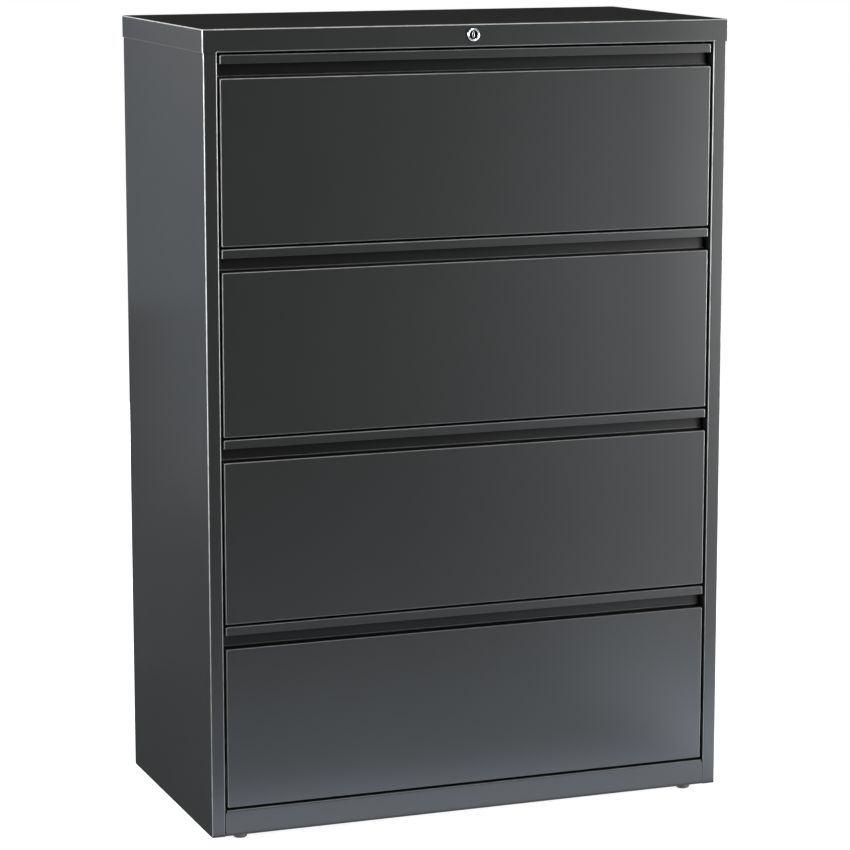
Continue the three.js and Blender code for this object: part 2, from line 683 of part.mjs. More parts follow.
function addPair(parent, name, solid, finish) {
  for (const [side, sign] of Object.entries(SIDES)) add(parent, `${name}_${side}`, solid, finish, sign);
}

function drawer(number) {
  const group = new THREE.Group();
  group.position.set(0, DRAWER_Y, drawerBottom(number));
  add(group, `drawer_${number}_front`, drawerFront(), 'coat');
  add(group, `drawer_${number}_tray`, drawerTray(), 'coat');
  add(group, `drawer_${number}_hanging_frame`, hangingFrame(), 'zinc');
  addPair(group, `drawer_${number}_slide_outer`, slideOuter(), 'zinc');
  addPair(group, `drawer_${number}_slide_middle`, slideMiddle(), 'zinc');
  addPair(group, `drawer_${number}_slide_inner`, slideInner(), 'zinc');
  return group;
}

const cabinet = new THREE.Group();
addPair(cabinet, 'side_panel', sidePanel(), 'coat');
add(cabinet, 'back_panel', backPanel(), 'coat');
add(cabinet, 'top_panel', topPanel(), 'coat');
add(cabinet, 'base_rail', baseRail(), 'coat');
add(cabinet, 'base_pan', basePan(), 'coat');
add(cabinet, 'counterweight', counterweight(), 'iron');
add(cabinet, 'upright_front_left', frontUpright(false), 'zinc', SIDES.left);
add(cabinet, 'upright_front_right', frontUpright(true), 'zinc', SIDES.right);
addPair(cabinet, 'upright_rear', rearUpright(), 'zinc');
for (const axis of glideAxes()) add(cabinet, axis.name, glide(axis.at), 'plastic');
add(cabinet, 'lock_housing', lockHousing(), 'chrome');
add(cabinet, 'lock_nut', lockNut(), 'zinc');
add(cabinet, 'lock_plug', lockPlug(), 'chrome');
add(cabinet, 'lock_cam', lockCam(), 'zinc');
add(cabinet, 'lock_link', lockLink(), 'zinc');
add(cabinet, 'lock_crank', lockCrank(), 'zinc');
add(cabinet, 'lock_bar', lockBar(), 'zinc');
add(cabinet, 'interlock_bar', interlockBar(), 'zinc', SIDES.left);
for (let number = 1; number <= DRAWERS; number += 1) cabinet.add(drawer(number));

export default cabinet;
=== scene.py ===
# %% [markdown]
# # A lateral filing cabinet in folded sheet steel
#
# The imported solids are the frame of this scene. Every visible piece takes its place and size from them,
# rides on the body that carries it, and adds what a solid leaves out: round folds, seams, screws and the
# finish itself. The unit is the metre, +Z is up, and the drawers open towards -Y.

# %% Load the frame
import json
import math

import bmesh
import bpy
from mathutils import Matrix, Vector


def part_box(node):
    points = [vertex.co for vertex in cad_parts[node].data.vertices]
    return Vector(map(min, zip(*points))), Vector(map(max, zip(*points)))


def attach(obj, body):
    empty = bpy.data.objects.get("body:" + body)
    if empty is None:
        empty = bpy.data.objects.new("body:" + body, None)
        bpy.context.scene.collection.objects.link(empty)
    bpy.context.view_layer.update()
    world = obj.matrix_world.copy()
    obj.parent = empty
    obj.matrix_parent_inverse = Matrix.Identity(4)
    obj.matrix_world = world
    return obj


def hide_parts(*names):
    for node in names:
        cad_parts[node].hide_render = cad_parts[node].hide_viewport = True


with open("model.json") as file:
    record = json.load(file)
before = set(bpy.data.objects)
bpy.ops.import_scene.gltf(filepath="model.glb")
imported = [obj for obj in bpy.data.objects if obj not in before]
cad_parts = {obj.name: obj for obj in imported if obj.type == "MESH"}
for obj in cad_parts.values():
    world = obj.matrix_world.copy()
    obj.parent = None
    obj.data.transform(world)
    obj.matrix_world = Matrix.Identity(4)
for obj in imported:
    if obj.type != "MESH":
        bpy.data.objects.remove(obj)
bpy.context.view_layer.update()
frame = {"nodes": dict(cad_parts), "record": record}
nodes = frame["nodes"]

MM = 0.001
DRAWERS = (1, 2, 3, 4)
SIDES = {"left": -1, "right": 1}


def mm(length):
    """A length in millimetres, for a print."""
    return round(length / MM, 2)


# %% [markdown]
# ## Colours and nodes
#
# A colour picked on a screen is an sRGB hex value, but the shader counts light, so one function makes it
# linear. Another adds a node: plain values go on its sockets, and a socket of another node becomes a link.


# %% Colour and node helpers
def linear(hex_colour):
    """An sRGB hex colour as the linear colour that a shader socket takes."""
    channels = [int(hex_colour[start:start + 2], 16) / 255 for start in (1, 3, 5)]
    return [c / 12.92 if c <= 0.04045 else ((c + 0.055) / 1.055) ** 2.4 for c in channels] + [1.0]


def add_node(tree, kind, sockets=None, **settings):
    """Adds a node, sets its properties, and fills its sockets with values or links."""
    node = tree.nodes.new(kind)
    for name, value in settings.items():
        setattr(node, name, value)
    for name, value in (sockets or {}).items():
        if isinstance(value, bpy.types.NodeSocket):
            tree.links.new(value, node.inputs[name])
        else:
            node.inputs[name].default_value = value
    return node


def new_finish(name):
    """An empty material and its node tree."""
    finish = bpy.data.materials.new(name)
    finish.use_nodes = True
    finish.node_tree.nodes.clear()
    return finish, finish.node_tree


print("mid grey in linear light:", round(linear("#808080")[0], 3))

# %% [markdown]
# ## Charcoal powder coat
#
# The case and the drawers are sprayed with dry polyester powder, which melts in an oven to a tough
# semi-gloss skin. It never flows quite flat: a faint orange peel, with waves of a few millimetres, breaks
# the edge of each reflection. The pigment is a near-black grey. Two noises are enough: one wide and weak
# for the film's uneven thickness, and one for the peel. The peel's short waves, under a millimetre, are
# finer than a pixel, so only the long waves are drawn.
#
# The folds carry a painted highlight, a pale tone that stands in for the light they catch, brighter higher
# up.
# The narrow pull carries painted shade, a near-black tone with a weaker sheen, darkest close under its lip.
# Each piece marks its folds and its pull in two attributes, and the colour follows them. The height above
# the floor sets how bright the painted highlight on the folds is, and a noise with waves about 20 mm long
# breaks the painted highlight up.

# %% Powder coat
COAT_CLOUD = 140 * MM
COAT_PEEL = 5 * MM
PEEL_DEPTH = 0.03 * MM
# the painted highlight on the folds grows with height between these two levels
HIGHLIGHT_FROM = 250 * MM
HIGHLIGHT_TO = 1330 * MM
LEAST_HIGHLIGHT = 0.2
# wave length of the noise that breaks the painted highlight up
HIGHLIGHT_BREAKUP = 20 * MM
COAT_SHEEN = 0.3
# the weaker sheen in the pull is part of its painted shade
RECESS_SHEEN = 0.1

powder_coat, tree = new_finish("charcoal polyester powder coat")
place = add_node(tree, "ShaderNodeTexCoord")
cloud = add_node(tree, "ShaderNodeTexNoise", {
    "Vector": place.outputs["Object"], "Scale": 1 / COAT_CLOUD, "Detail": 3.0})
peel = add_node(tree, "ShaderNodeTexNoise", {
    "Vector": place.outputs["Object"], "Scale": 1 / COAT_PEEL, "Detail": 2.0})
breakup = add_node(tree, "ShaderNodeTexNoise", {
    "Vector": place.outputs["Object"], "Scale": 1 / HIGHLIGHT_BREAKUP, "Detail": 4.0})
pigment = add_node(tree, "ShaderNodeMix", {
    "Factor": cloud.outputs["Fac"], "A": linear("#252523"), "B": linear("#292927")}, data_type="RGBA")
# painted highlight: folds marked by their facing, brighter higher up, broken up by a noise
fold = add_node(tree, "ShaderNodeAttribute", attribute_name="fold")
height = add_node(tree, "ShaderNodeSeparateXYZ", {"Vector": place.outputs["Object"]})
brighter_higher = add_node(tree, "ShaderNodeMapRange", {
    "Value": height.outputs["Z"], "From Min": HIGHLIGHT_FROM, "From Max": HIGHLIGHT_TO,
    "To Min": LEAST_HIGHLIGHT, "To Max": 1.0})
fold_by_height = add_node(tree, "ShaderNodeMath", {
    0: fold.outputs["Fac"], 1: brighter_higher.outputs["Result"]}, operation="MULTIPLY")
uneven = add_node(tree, "ShaderNodeMapRange", {
    "Value": breakup.outputs["Fac"], "From Min": 0.35, "From Max": 0.6, "To Min": 0.7, "To Max": 1.0})
highlight_share = add_node(tree, "ShaderNodeMath", {
    0: fold_by_height.outputs["Value"], 1: uneven.outputs["Result"]}, operation="MULTIPLY")
# the near-white tone is the painted highlight on the folds
with_highlight = add_node(tree, "ShaderNodeMix", {
    "Factor": highlight_share.outputs["Value"], "A": pigment.outputs["Result"], "B": linear("#e8e6e0")},
    data_type="RGBA")
# painted shade in the pull: a near-black tone and a weaker sheen, strongest close under the lip
recess = add_node(tree, "ShaderNodeAttribute", attribute_name="recess")
with_painted_shade = add_node(tree, "ShaderNodeMix", {
    "Factor": recess.outputs["Fac"], "A": with_highlight.outputs["Result"], "B": linear("#0c0b0a")},
    data_type="RGBA")
gloss = add_node(tree, "ShaderNodeMapRange", {
    "Value": peel.outputs["Fac"], "To Min": 0.27, "To Max": 0.33})
sheen = add_node(tree, "ShaderNodeMapRange", {
    "Value": recess.outputs["Fac"], "To Min": COAT_SHEEN, "To Max": RECESS_SHEEN})
relief = add_node(tree, "ShaderNodeBump", {
    "Height": peel.outputs["Fac"], "Strength": 0.25, "Distance": PEEL_DEPTH})
shader = add_node(tree, "ShaderNodeBsdfPrincipled", {
    "Base Color": with_painted_shade.outputs["Result"], "Roughness": gloss.outputs["Result"],
    "Normal": relief.outputs["Normal"], "Specular IOR Level": sheen.outputs["Result"]})
add_node(tree, "ShaderNodeOutputMaterial", {"Surface": shader.outputs["BSDF"]})
print(powder_coat.name, "peel scale per metre:", round(1 / COAT_PEEL))

# %% [markdown]
# ## Bright zinc plate
#
# Slides, uprights, file rails and the locking gear are strip steel with a thin bright zinc plate. The strip
# was rolled, so it carries fine lines along its length, here along Y, and the plating leaves soft patches
# of a slightly duller grey. A noise that is squeezed across Y and drawn out along it gives the lines.

# %% Zinc plate
ROLL_LINE = 1.2 * MM
ROLL_LENGTH = 90 * MM
ROLL_DEPTH = 0.02 * MM
PLATE_PATCH = 25 * MM

zinc_plate, tree = new_finish("bright zinc plated strip")
place = add_node(tree, "ShaderNodeTexCoord")
drawn_out = add_node(tree, "ShaderNodeMapping", {
    "Vector": place.outputs["Object"], "Scale": (1 / ROLL_LINE, 1 / ROLL_LENGTH, 1 / ROLL_LINE)})
lines = add_node(tree, "ShaderNodeTexNoise", {
    "Vector": drawn_out.outputs["Vector"], "Scale": 1.0, "Detail": 2.0})
patches = add_node(tree, "ShaderNodeTexNoise", {
    "Vector": place.outputs["Object"], "Scale": 1 / PLATE_PATCH, "Detail": 3.0})
plating = add_node(tree, "ShaderNodeMix", {
    "Factor": patches.outputs["Fac"], "A": linear("#a9adb0"), "B": linear("#c3c6c8")}, data_type="RGBA")
dullness = add_node(tree, "ShaderNodeMapRange", {
    "Value": lines.outputs["Fac"], "To Min": 0.26, "To Max": 0.42})
relief = add_node(tree, "ShaderNodeBump", {
    "Height": lines.outputs["Fac"], "Strength": 0.15, "Distance": ROLL_DEPTH})
shader = add_node(tree, "ShaderNodeBsdfPrincipled", {
    "Base Color": plating.outputs["Result"], "Metallic": 1.0, "Roughness": dullness.outputs["Result"],
    "Normal": relief.outputs["Normal"]})
add_node(tree, "ShaderNodeOutputMaterial", {"Surface": shader.outputs["BSDF"]})
print(zinc_plate.name, "lines per metre:", round(1 / ROLL_LINE))

# %% [markdown]
# ## Polished chrome
#
# The lock's bezel and the frame of its keyway are die-cast zinc, polished and chromed: a near mirror with a
# cool tint. Handling leaves a faint haze, which a weak noise in the roughness gives.

# %% Chrome
HAZE = 3 * MM

chrome, tree = new_finish("polished chrome plate")
place = add_node(tree, "ShaderNodeTexCoord")
haze = add_node(tree, "ShaderNodeTexNoise", {
    "Vector": place.outputs["Object"], "Scale": 1 / HAZE, "Detail": 2.0})
dullness = add_node(tree, "ShaderNodeMapRange", {
    "Value": haze.outputs["Fac"], "To Min": 0.07, "To Max": 0.16})
shader = add_node(tree, "ShaderNodeBsdfPrincipled", {
    "Base Color": linear("#d9dbdd"), "Metallic": 1.0, "Roughness": dullness.outputs["Result"]})
add_node(tree, "ShaderNodeOutputMaterial", {"Surface": shader.outputs["BSDF"]})
print(chrome.name, "made")

# %% [markdown]
# ## Dark nickel
#
# The lock's plug is brass with a dark nickel plate, so that the bright frame of the keyway stands out. Its
# near-black tone is also painted shade deep in the bore. It is a metal with a dull dark reflection, a
# little uneven from the plating bath.

# %% Dark nickel
BATH_CLOUD = 2 * MM

dark_nickel_and_shade, tree = new_finish("dark nickel plate")
place = add_node(tree, "ShaderNodeTexCoord")
bath = add_node(tree, "ShaderNodeTexNoise", {
    "Vector": place.outputs["Object"], "Scale": 1 / BATH_CLOUD, "Detail": 2.0})
# a near-black plate tone, partly painted shade deep in the bore
tone = add_node(tree, "ShaderNodeMix", {
    "Factor": bath.outputs["Fac"], "A": linear("#0a0a09"), "B": linear("#131211")}, data_type="RGBA")
shader = add_node(tree, "ShaderNodeBsdfPrincipled", {
    "Base Color": tone.outputs["Result"], "Metallic": 1.0, "Roughness": 0.35})
add_node(tree, "ShaderNodeOutputMaterial", {"Surface": shader.outputs["BSDF"]})
print(dark_nickel_and_shade.name, "made")

# %% [markdown]
# ## Moulded nylon, rubber and cast iron
#
# The levelling glides have black collars and grey soles of moulded nylon, and the lock has a washer of
# black rubber, whose near-black ring is also painted shade round the bezel. All are matt from the mould's
# spark-eroded surface. The counterweight inside is a raw grey iron casting, rough from the sand it was
# poured in. Each has a grain in its tone and its relief, so one function makes them all.

# %% Nylon, rubber and iron
SPARKED = {"grain": 0.8 * MM, "detail": 2.0, "depth": 0.05 * MM, "strength": 0.3}
SANDED = {"grain": 1.5 * MM, "detail": 4.0, "depth": 0.3 * MM, "strength": 0.6}
NYLON_LOOK = {"Roughness": 0.5, "IOR": 1.53}
RUBBER_LOOK = {"Roughness": 0.85, "Specular IOR Level": 0.2, "IOR": 1.53}
IRON_LOOK = {"Roughness": 0.75, "Metallic": 0.4}


def grained(name, dark, pale, look, grain, detail, depth, strength):
    """A finish whose grain roughens it and mottles it between two tones."""
    finish, tree = new_finish(name)
    place = add_node(tree, "ShaderNodeTexCoord")
    grit = add_node(tree, "ShaderNodeTexNoise", {
        "Vector": place.outputs["Object"], "Scale": 1 / grain, "Detail": detail})
    tone = add_node(tree, "ShaderNodeMix", {
        "Factor": grit.outputs["Fac"], "A": linear(dark), "B": linear(pale)}, data_type="RGBA")
    relief = add_node(tree, "ShaderNodeBump", {
        "Height": grit.outputs["Fac"], "Strength": strength, "Distance": depth})
    shader = add_node(tree, "ShaderNodeBsdfPrincipled", {
        "Base Color": tone.outputs["Result"], "Normal": relief.outputs["Normal"], **look})
    add_node(tree, "ShaderNodeOutputMaterial", {"Surface": shader.outputs["BSDF"]})
    return finish


# near-black rubber for the washer, whose dark ring is painted shade round the bezel
shadow_ring_rubber = grained("moulded black rubber", "#030303", "#060606", RUBBER_LOOK, **SPARKED)
nylon = grained("moulded black nylon", "#101112", "#1a1b1c", NYLON_LOOK, **SPARKED)
grey_nylon = grained("moulded grey nylon", "#57585a", "#66676a", NYLON_LOOK, **SPARKED)
cast_iron = grained("raw grey cast iron", "#2c2a29", "#474443", IRON_LOOK, **SANDED)
print(shadow_ring_rubber.name, nylon.name, grey_nylon.name, cast_iron.name, "made", sep=", ")

# %% [markdown]
# ## From a mesh to a piece
#
# Sheet metal is flat faces that meet in small round folds. Smooth shading alone would bend the light across
# the flat faces, so the weighted normals keep each large face flat and let only the folds turn. Cut edges
# stay sharp. A finished piece keeps its place in its mesh, and its object stays at the origin.
#
# Each fold gets a painted highlight by the way it looks: most on upright folds, less on those that look up,
# and least on those that look down. The inside of a fold gets a faint painted highlight.

# %% Marks for folds and recesses
FLAT = 0.98  # a face with this much of its normal along one axis is flat
BENT = 0.02  # an edge turns if its faces meet at more than this angle, in radians
LEVEL = 0.2  # a face whose normal climbs or drops by less than this is upright
# how bright the painted highlight is on outward folds that look each way
CASE_FOLD_HIGHLIGHT = {"upright": 0.95, "above": 0.55, "below": 0.15}
FRONT_FOLD_HIGHLIGHT = {"upright": 1.3, "above": 0.36, "below": 0.12}
INSIDE_FOLD_HIGHLIGHT = 0.3
# share of the painted shade in the pull at the foot of its wall
FOOT_SHADE = 0.35


def paint_fold_highlights(bm, fold_highlight):
    """Paints a highlight on each face of a fold, by the way the fold looks."""
    fold = bm.faces.layers.float.new("fold")
    bm.normal_update()
    for face in bm.faces:
        turning = max(abs(part) for part in face.normal) < FLAT
        bent = [e for e in face.edges if e.calc_face_angle(0) > BENT]
        outward = sum(e.calc_length() if e.is_convex else -e.calc_length() for e in bent) > 0
        looks = "above" if face.normal.z > LEVEL else "below" if face.normal.z < -LEVEL else "upright"
        # outward folds get a painted highlight by their facing, inward folds a faint one
        face[fold] = 0.0 if not turning else fold_highlight[looks] if outward else INSIDE_FOLD_HIGHLIGHT


def paint_recess_shade(bm, inside, foot, top):
    """Paints shade on the faces whose middle passes a test, and on the upright wall least at the foot."""
    recess = bm.loops.layers.float.new("recess")
    bm.normal_update()
    for face in bm.faces:
        if inside(face.calc_center_median()):
            for corner in face.loops:
                share = (corner.vert.co.z - foot) / (top - foot) if abs(face.normal.z) < LEVEL else 1.0
                corner[recess] = FOOT_SHADE + (1 - FOOT_SHADE) * share


print("rub on the case", CASE_FOLD_HIGHLIGHT, "and on the fronts", FRONT_FOLD_HIGHLIGHT)

# %% Piece helper
SHARP = math.radians(50)


def add_object(name, bm, finish):
    """Turns a bmesh into an object with its finish."""
    mesh = bpy.data.meshes.new(name)
    bm.to_mesh(mesh)
    bm.free()
    mesh.materials.append(finish)
    made = bpy.data.objects.new(name, mesh)
    bpy.context.scene.collection.objects.link(made)
    return made


def finish_piece(name, bm, finish, body, slot, *stands_for, fold_highlight=CASE_FOLD_HIGHLIGHT):
    """Turns a bmesh into a piece with its finish, riding on its body, in place of the named solids."""
    for edge in bm.edges:
        edge.smooth = len(edge.link_faces) == 2 and edge.calc_face_angle() < SHARP
    for face in bm.faces:
        face.smooth = True
    # powder-coated pieces get painted highlights on their folds
    if finish == powder_coat and fold_highlight:
        paint_fold_highlights(bm, fold_highlight)
    made = add_object(name, bm, finish)
    level = made.modifiers.new("flat faces stay flat", "WEIGHTED_NORMAL")
    level.keep_sharp = True
    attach(made, body)
    if stands_for:
        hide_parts(*stands_for)


print("an edge is sharp above", round(math.degrees(SHARP)), "degrees")

# %% Helpers to pick, round and cut
SAME = 0.02 * MM  # lengths that differ by less than this are the same
HAIR = 0.1 * MM  # a margin that takes in what lies just on a limit
ALONG = 0.99  # a face with this much of its normal along an axis looks along it
ON_PLANE = 1e-7  # a corner this close to a cut lies on it


def near(a, b):
    """Whether two lengths are the same."""
    return abs(a - b) < SAME


def facing(bm, normal, where=None):
    """The faces that look along an axis, or of those the ones whose middle passes a test."""
    bm.normal_update()
    axis = Vector(normal)
    found = [f for f in bm.faces if f.normal.dot(axis) > ALONG]
    return [f for f in found if where is None or where(f.calc_center_median())]


def edges_where(bm, test):
    """The edges whose two ends both pass a test on their place."""
    return [e for e in bm.edges if all(test(v.co) for v in e.verts)]


def round_off(bm, edges, radius, steps=4):
    """Rounds edges to a radius."""
    bmesh.ops.bevel(bm, geom=edges, offset=radius, offset_type="OFFSET", segments=steps, profile=0.5,
                    affect="EDGES", clamp_overlap=True, material=-1)


def block(low, high):
    """A plain block between two corners, to be cut and rounded."""
    bm = bmesh.new()
    size = Vector(high) - Vector(low)
    middle = (Vector(high) + Vector(low)) / 2
    bmesh.ops.create_cube(bm, size=1, matrix=Matrix.Translation(middle) @ Matrix.Diagonal((*size, 1)))
    return bm


def cut(bm, place, normal, faces=None):
    """Cuts a mesh, or only the given faces, along a plane, and keeps both halves."""
    if faces is None:
        geometry = bm.verts[:] + bm.edges[:] + bm.faces[:]
    else:
        verts = dict.fromkeys(v for f in faces for v in f.verts)
        edges = dict.fromkeys(e for f in faces for e in f.edges)
        geometry = [*verts, *edges, *faces]
    bmesh.ops.bisect_plane(bm, geom=geometry, dist=ON_PLANE, plane_co=place, plane_no=normal)


def shift_swept(bm, swept, travel):
    """Moves what an extrusion made."""
    moved = [g for g in swept["geom"] if isinstance(g, bmesh.types.BMVert)]
    bmesh.ops.translate(bm, verts=moved, vec=travel)


def draw_out(bm, faces, travel):
    """Extrudes faces along a vector and takes away the ones they started from."""
    shift_swept(bm, bmesh.ops.extrude_face_region(bm, geom=faces), travel)
    bmesh.ops.delete(bm, geom=faces, context="FACES")


print("places within", mm(SAME), "mm count as the same")

# %% [markdown]
# ## Folded sheet
#
# A press brake folds a flat blank along straight lines, so a folded part is one line of corners drawn out
# along its length. Here the corners become edges, the edges are extruded, the folds are bevelled round, and
# solidify gives the sheet its gauge on the side away from the face that shows.

# %% Folded sheet helper
SHEET = 1.0 * MM
BEND = 2.5 * MM


def folded_sheet(corners, run, outside, bend=BEND, gauge=SHEET, trim=None):
    """Sheet folded along a line of corners and drawn out by run; its first face looks to the outside."""
    bm = bmesh.new()
    line = [bm.verts.new(corner) for corner in corners]
    edges = [bm.edges.new(pair) for pair in zip(line, line[1:])]
    first = (line[0].co + line[1].co) / 2 + Vector(run) / 2
    shift_swept(bm, bmesh.ops.extrude_edge_only(bm, edges=edges), run)
    bm.normal_update()
    start = min(bm.faces, key=lambda f: (f.calc_center_median() - first).length)
    if start.normal.dot(Vector(outside)) < 0:
        bmesh.ops.reverse_faces(bm, faces=bm.faces[:])
    round_off(bm, [e for e in bm.edges if len(e.link_faces) == 2], bend)
    if trim:
        trim(bm)
    bm.normal_update()
    bmesh.ops.solidify(bm, geom=bm.faces[:], thickness=gauge)
    bmesh.ops.recalc_face_normals(bm, faces=bm.faces[:])
    return bm


print("sheet", mm(SHEET), "mm, outer fold radius", mm(BEND), "mm")

# %% [markdown]
# ## Side panels
#
# Each side is one sheet: a fold behind the stile, the stile that frames the drawers, the tall side, and a
# flange for the back. The round folds along the stile are what catch the light in long bright lines.

# %% Side panels
STILE_RETURN = 25 * MM
REAR_FLANGE = 22 * MM

low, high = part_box("side_panel_right")
for side, sign in SIDES.items():
    plan = [(low.x, low.y + STILE_RETURN), (low.x, low.y), (high.x, low.y), (high.x, high.y),
            (high.x - REAR_FLANGE, high.y)]
    corners = [(sign * x, y, low.z) for x, y in plan]
    bm = folded_sheet(corners, (0, 0, high.z - low.z), (-sign, 0, 0))
    finish_piece(f"side_{side}", bm, powder_coat, "case", "powder_coat", f"side_panel_{side}")
STILE_INNER = low.x
FRONT = low.y
print("sides", mm(high.y - low.y), "mm deep and", mm(high.z - low.z), "mm high")

# %% [markdown]
# ## Top
#
# The top is a tray turned upside down, drawn and welded at its corners, with a 37 mm skirt that slips over
# the sides. A cube without its lower face is that shape. Its front edge folds back between the stiles, and
# the skirt has a round hole for the lock, made by bridging a square opening to a circle.

# %% Top tray
TOP_PLAY = 0.3 * MM
TOP_RETURN = 22 * MM

low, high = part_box("top_panel")
span = STILE_INNER - TOP_PLAY


def on_foot(p):
    """Whether a place lies on the lower edge of the front skirt, between the stiles."""
    return near(p.y, low.y) and near(p.z, low.z) and abs(p.x) < span + HAIR


def at_corner(edge):
    """Whether an edge stands upright at a corner of the tray."""
    a, b = (v.co for v in edge.verts)
    return near(a.x, b.x) and near(a.y, b.y) and abs(a.x) > span + HAIR


bm = block(low, high)
bmesh.ops.delete(bm, geom=facing(bm, (0, 0, -1)), context="FACES_ONLY")
for x in (-span, span):
    cut(bm, (x, 0, 0), (1, 0, 0), facing(bm, (0, -1, 0)))
swept = bmesh.ops.extrude_edge_only(bm, edges=edges_where(bm, on_foot))
shift_swept(bm, swept, (0, TOP_RETURN, 0))
folds = edges_where(bm, lambda p: near(p.z, high.z))
folds += [e for e in bm.edges if at_corner(e)]
folds += edges_where(bm, on_foot)
round_off(bm, folds, BEND, steps=5)
print("top", mm(high.x - low.x), "mm wide, folds:", len(folds))

# %% Lock hole in the skirt
LOCK_HOLE = 9.3 * MM
HOLE_FRAME = 13 * MM
HOLE_STEPS = 32

lock_low, lock_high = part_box("lock_housing")
lock_at = (lock_low + lock_high) / 2


def at_lock(p):
    """Whether a place lies on the lock's axis."""
    return near(p.x, lock_at.x) and near(p.z, lock_at.z)


def on_lock(y):
    """Turns a shape that looks along Z on to the lock's axis, at a depth."""
    return Matrix.Translation((lock_at.x, y, lock_at.z)) @ Matrix.Rotation(math.pi / 2, 4, "X")


def outline_at_lock(bm, half_width, half_height, normal, where):
    """Cuts a rectangle about the lock's axis into the faces that look along an axis and pass a test."""
    for x in (half_width, -half_width):
        cut(bm, (lock_at.x + x, 0, 0), (1, 0, 0), facing(bm, normal, where))
    for z in (half_height, -half_height):
        cut(bm, (0, 0, lock_at.z + z), (0, 0, 1), facing(bm, normal, where))


outline_at_lock(bm, HOLE_FRAME, HOLE_FRAME, (0, -1, 0), lambda p: abs(p.x) < span)
opening = facing(bm, (0, -1, 0), at_lock)
frame_edges = [e for f in opening for e in f.edges]
bmesh.ops.delete(bm, geom=opening, context="FACES_ONLY")
bmesh.ops.subdivide_edges(bm, edges=frame_edges, cuts=HOLE_STEPS // 4 - 1)
about_hole = edges_where(bm, lambda p: near(p.y, low.y) and (p - lock_at).xz.length < 2 * HOLE_FRAME)
square = [e for e in about_hole if len(e.link_faces) == 1]
ring = bmesh.ops.create_circle(bm, segments=HOLE_STEPS, radius=LOCK_HOLE, matrix=on_lock(low.y))
circle = list(dict.fromkeys(e for v in ring["verts"] for e in v.link_edges))
bmesh.ops.bridge_loops(bm, edges=square + circle)
print("lock hole edges:", len(square), "to", len(circle))

# %% Gauge and hem of the top
HEM = 0.7 * MM

bm.normal_update()
bmesh.ops.recalc_face_normals(bm, faces=bm.faces[:])
if facing(bm, (0, 0, -1), lambda p: near(p.z, high.z)):
    bmesh.ops.reverse_faces(bm, faces=bm.faces[:])
bm.normal_update()
bmesh.ops.solidify(bm, geom=bm.faces[:], thickness=SHEET)
hem = edges_where(bm, lambda p: near(p.z, low.z) and (near(abs(p.x), high.x) or near(p.y, high.y)))
round_off(bm, hem, HEM, steps=3)
finish_piece("top", bm, powder_coat, "case", "powder_coat", "top_panel")
print("hem edges:", len(hem))

# %% [markdown]
# ## Base rail
#
# Under the bottom drawer a channel closes the front between the stiles, with its faces in one plane with
# them. It stops just short of them, which leaves a dark seam, and its upper corners are notched so that the
# fold can close.

# %% Base rail
RAIL_FLANGE = 30 * MM
SEAM = 0.25 * MM
NOTCH_WIDTH = 2.2 * MM
NOTCH_HEIGHT = 4.5 * MM

low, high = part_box("base_rail")


def notch_rail(bm):
    """Takes the upper corners off the rail's sheet."""
    inner = high.x - SEAM - NOTCH_WIDTH
    foot = high.z - NOTCH_HEIGHT
    for x in (-inner, inner):
        cut(bm, (x, 0, 0), (1, 0, 0))
    cut(bm, (0, 0, foot), (0, 0, 1))
    middles = [(f, f.calc_center_median()) for f in bm.faces]
    waste = [f for f, middle in middles if abs(middle.x) > inner and middle.z > foot]
    bmesh.ops.delete(bm, geom=waste, context="FACES")


behind = FRONT + RAIL_FLANGE
section = [(behind, high.z), (FRONT, high.z), (FRONT, low.z), (behind, low.z)]
line = [(low.x + SEAM, y, z) for y, z in section]
bm = folded_sheet(line, (high.x - low.x - 2 * SEAM, 0, 0), (0, 0, 1), trim=notch_rail)
finish_piece("rail", bm, powder_coat, "case", "powder_coat", "base_rail")
print("rail", mm(high.z - low.z), "mm high")

# %% [markdown]
# ## Back
#
# The back is one flat sheet, screwed to the flanges of the sides. Two shallow upright beads, pressed
# outwards, keep it from drumming. They are strips that are inset and pushed out in three steps, so that
# their slopes look round. The back gets no painted highlight on its folds. The trays and the slides have
# pressed strips too, so two helpers cut and press them all.

# %% Helpers for pressed strips
X, Y, Z = range(3)


def outline_strips(bm, normal, across, middles, width, along, ends):
    """Cuts strips into the faces that look along an axis, and returns the parts between two ends."""
    def on_strip(p):
        return any(near(p[across], middle) for middle in middles)

    def cut_at(axis, place, where=None):
        plane = Vector()
        plane[axis] = 1.0
        cut(bm, place * plane, plane, facing(bm, normal, where))

    for middle in middles:
        for edge in (middle - width / 2, middle + width / 2):
            cut_at(across, edge)
    for end in ends:
        cut_at(along, end, on_strip)
    return facing(bm, normal, lambda p: on_strip(p) and ends[0] < p[along] < ends[1])


def press_face(bm, face, slope, travel, steps=(1.0,)):
    """Insets a face and pushes it along a vector, in one or more steps."""
    for share in steps:
        bmesh.ops.inset_region(bm, faces=[face], thickness=slope / len(steps), use_even_offset=True)
        bmesh.ops.translate(bm, verts=face.verts, vec=share * Vector(travel))


print("helpers ready:", outline_strips.__name__, "and", press_face.__name__)

# %% Back
BEAD_PLACE = 1 / 6
BEAD_WIDTH = 60 * MM
BEAD_END = 120 * MM
BEAD_SLOPE = 15 * MM
BEAD_RAISE = 3 * MM
BEAD_STEPS = (0.25, 0.5, 0.25)

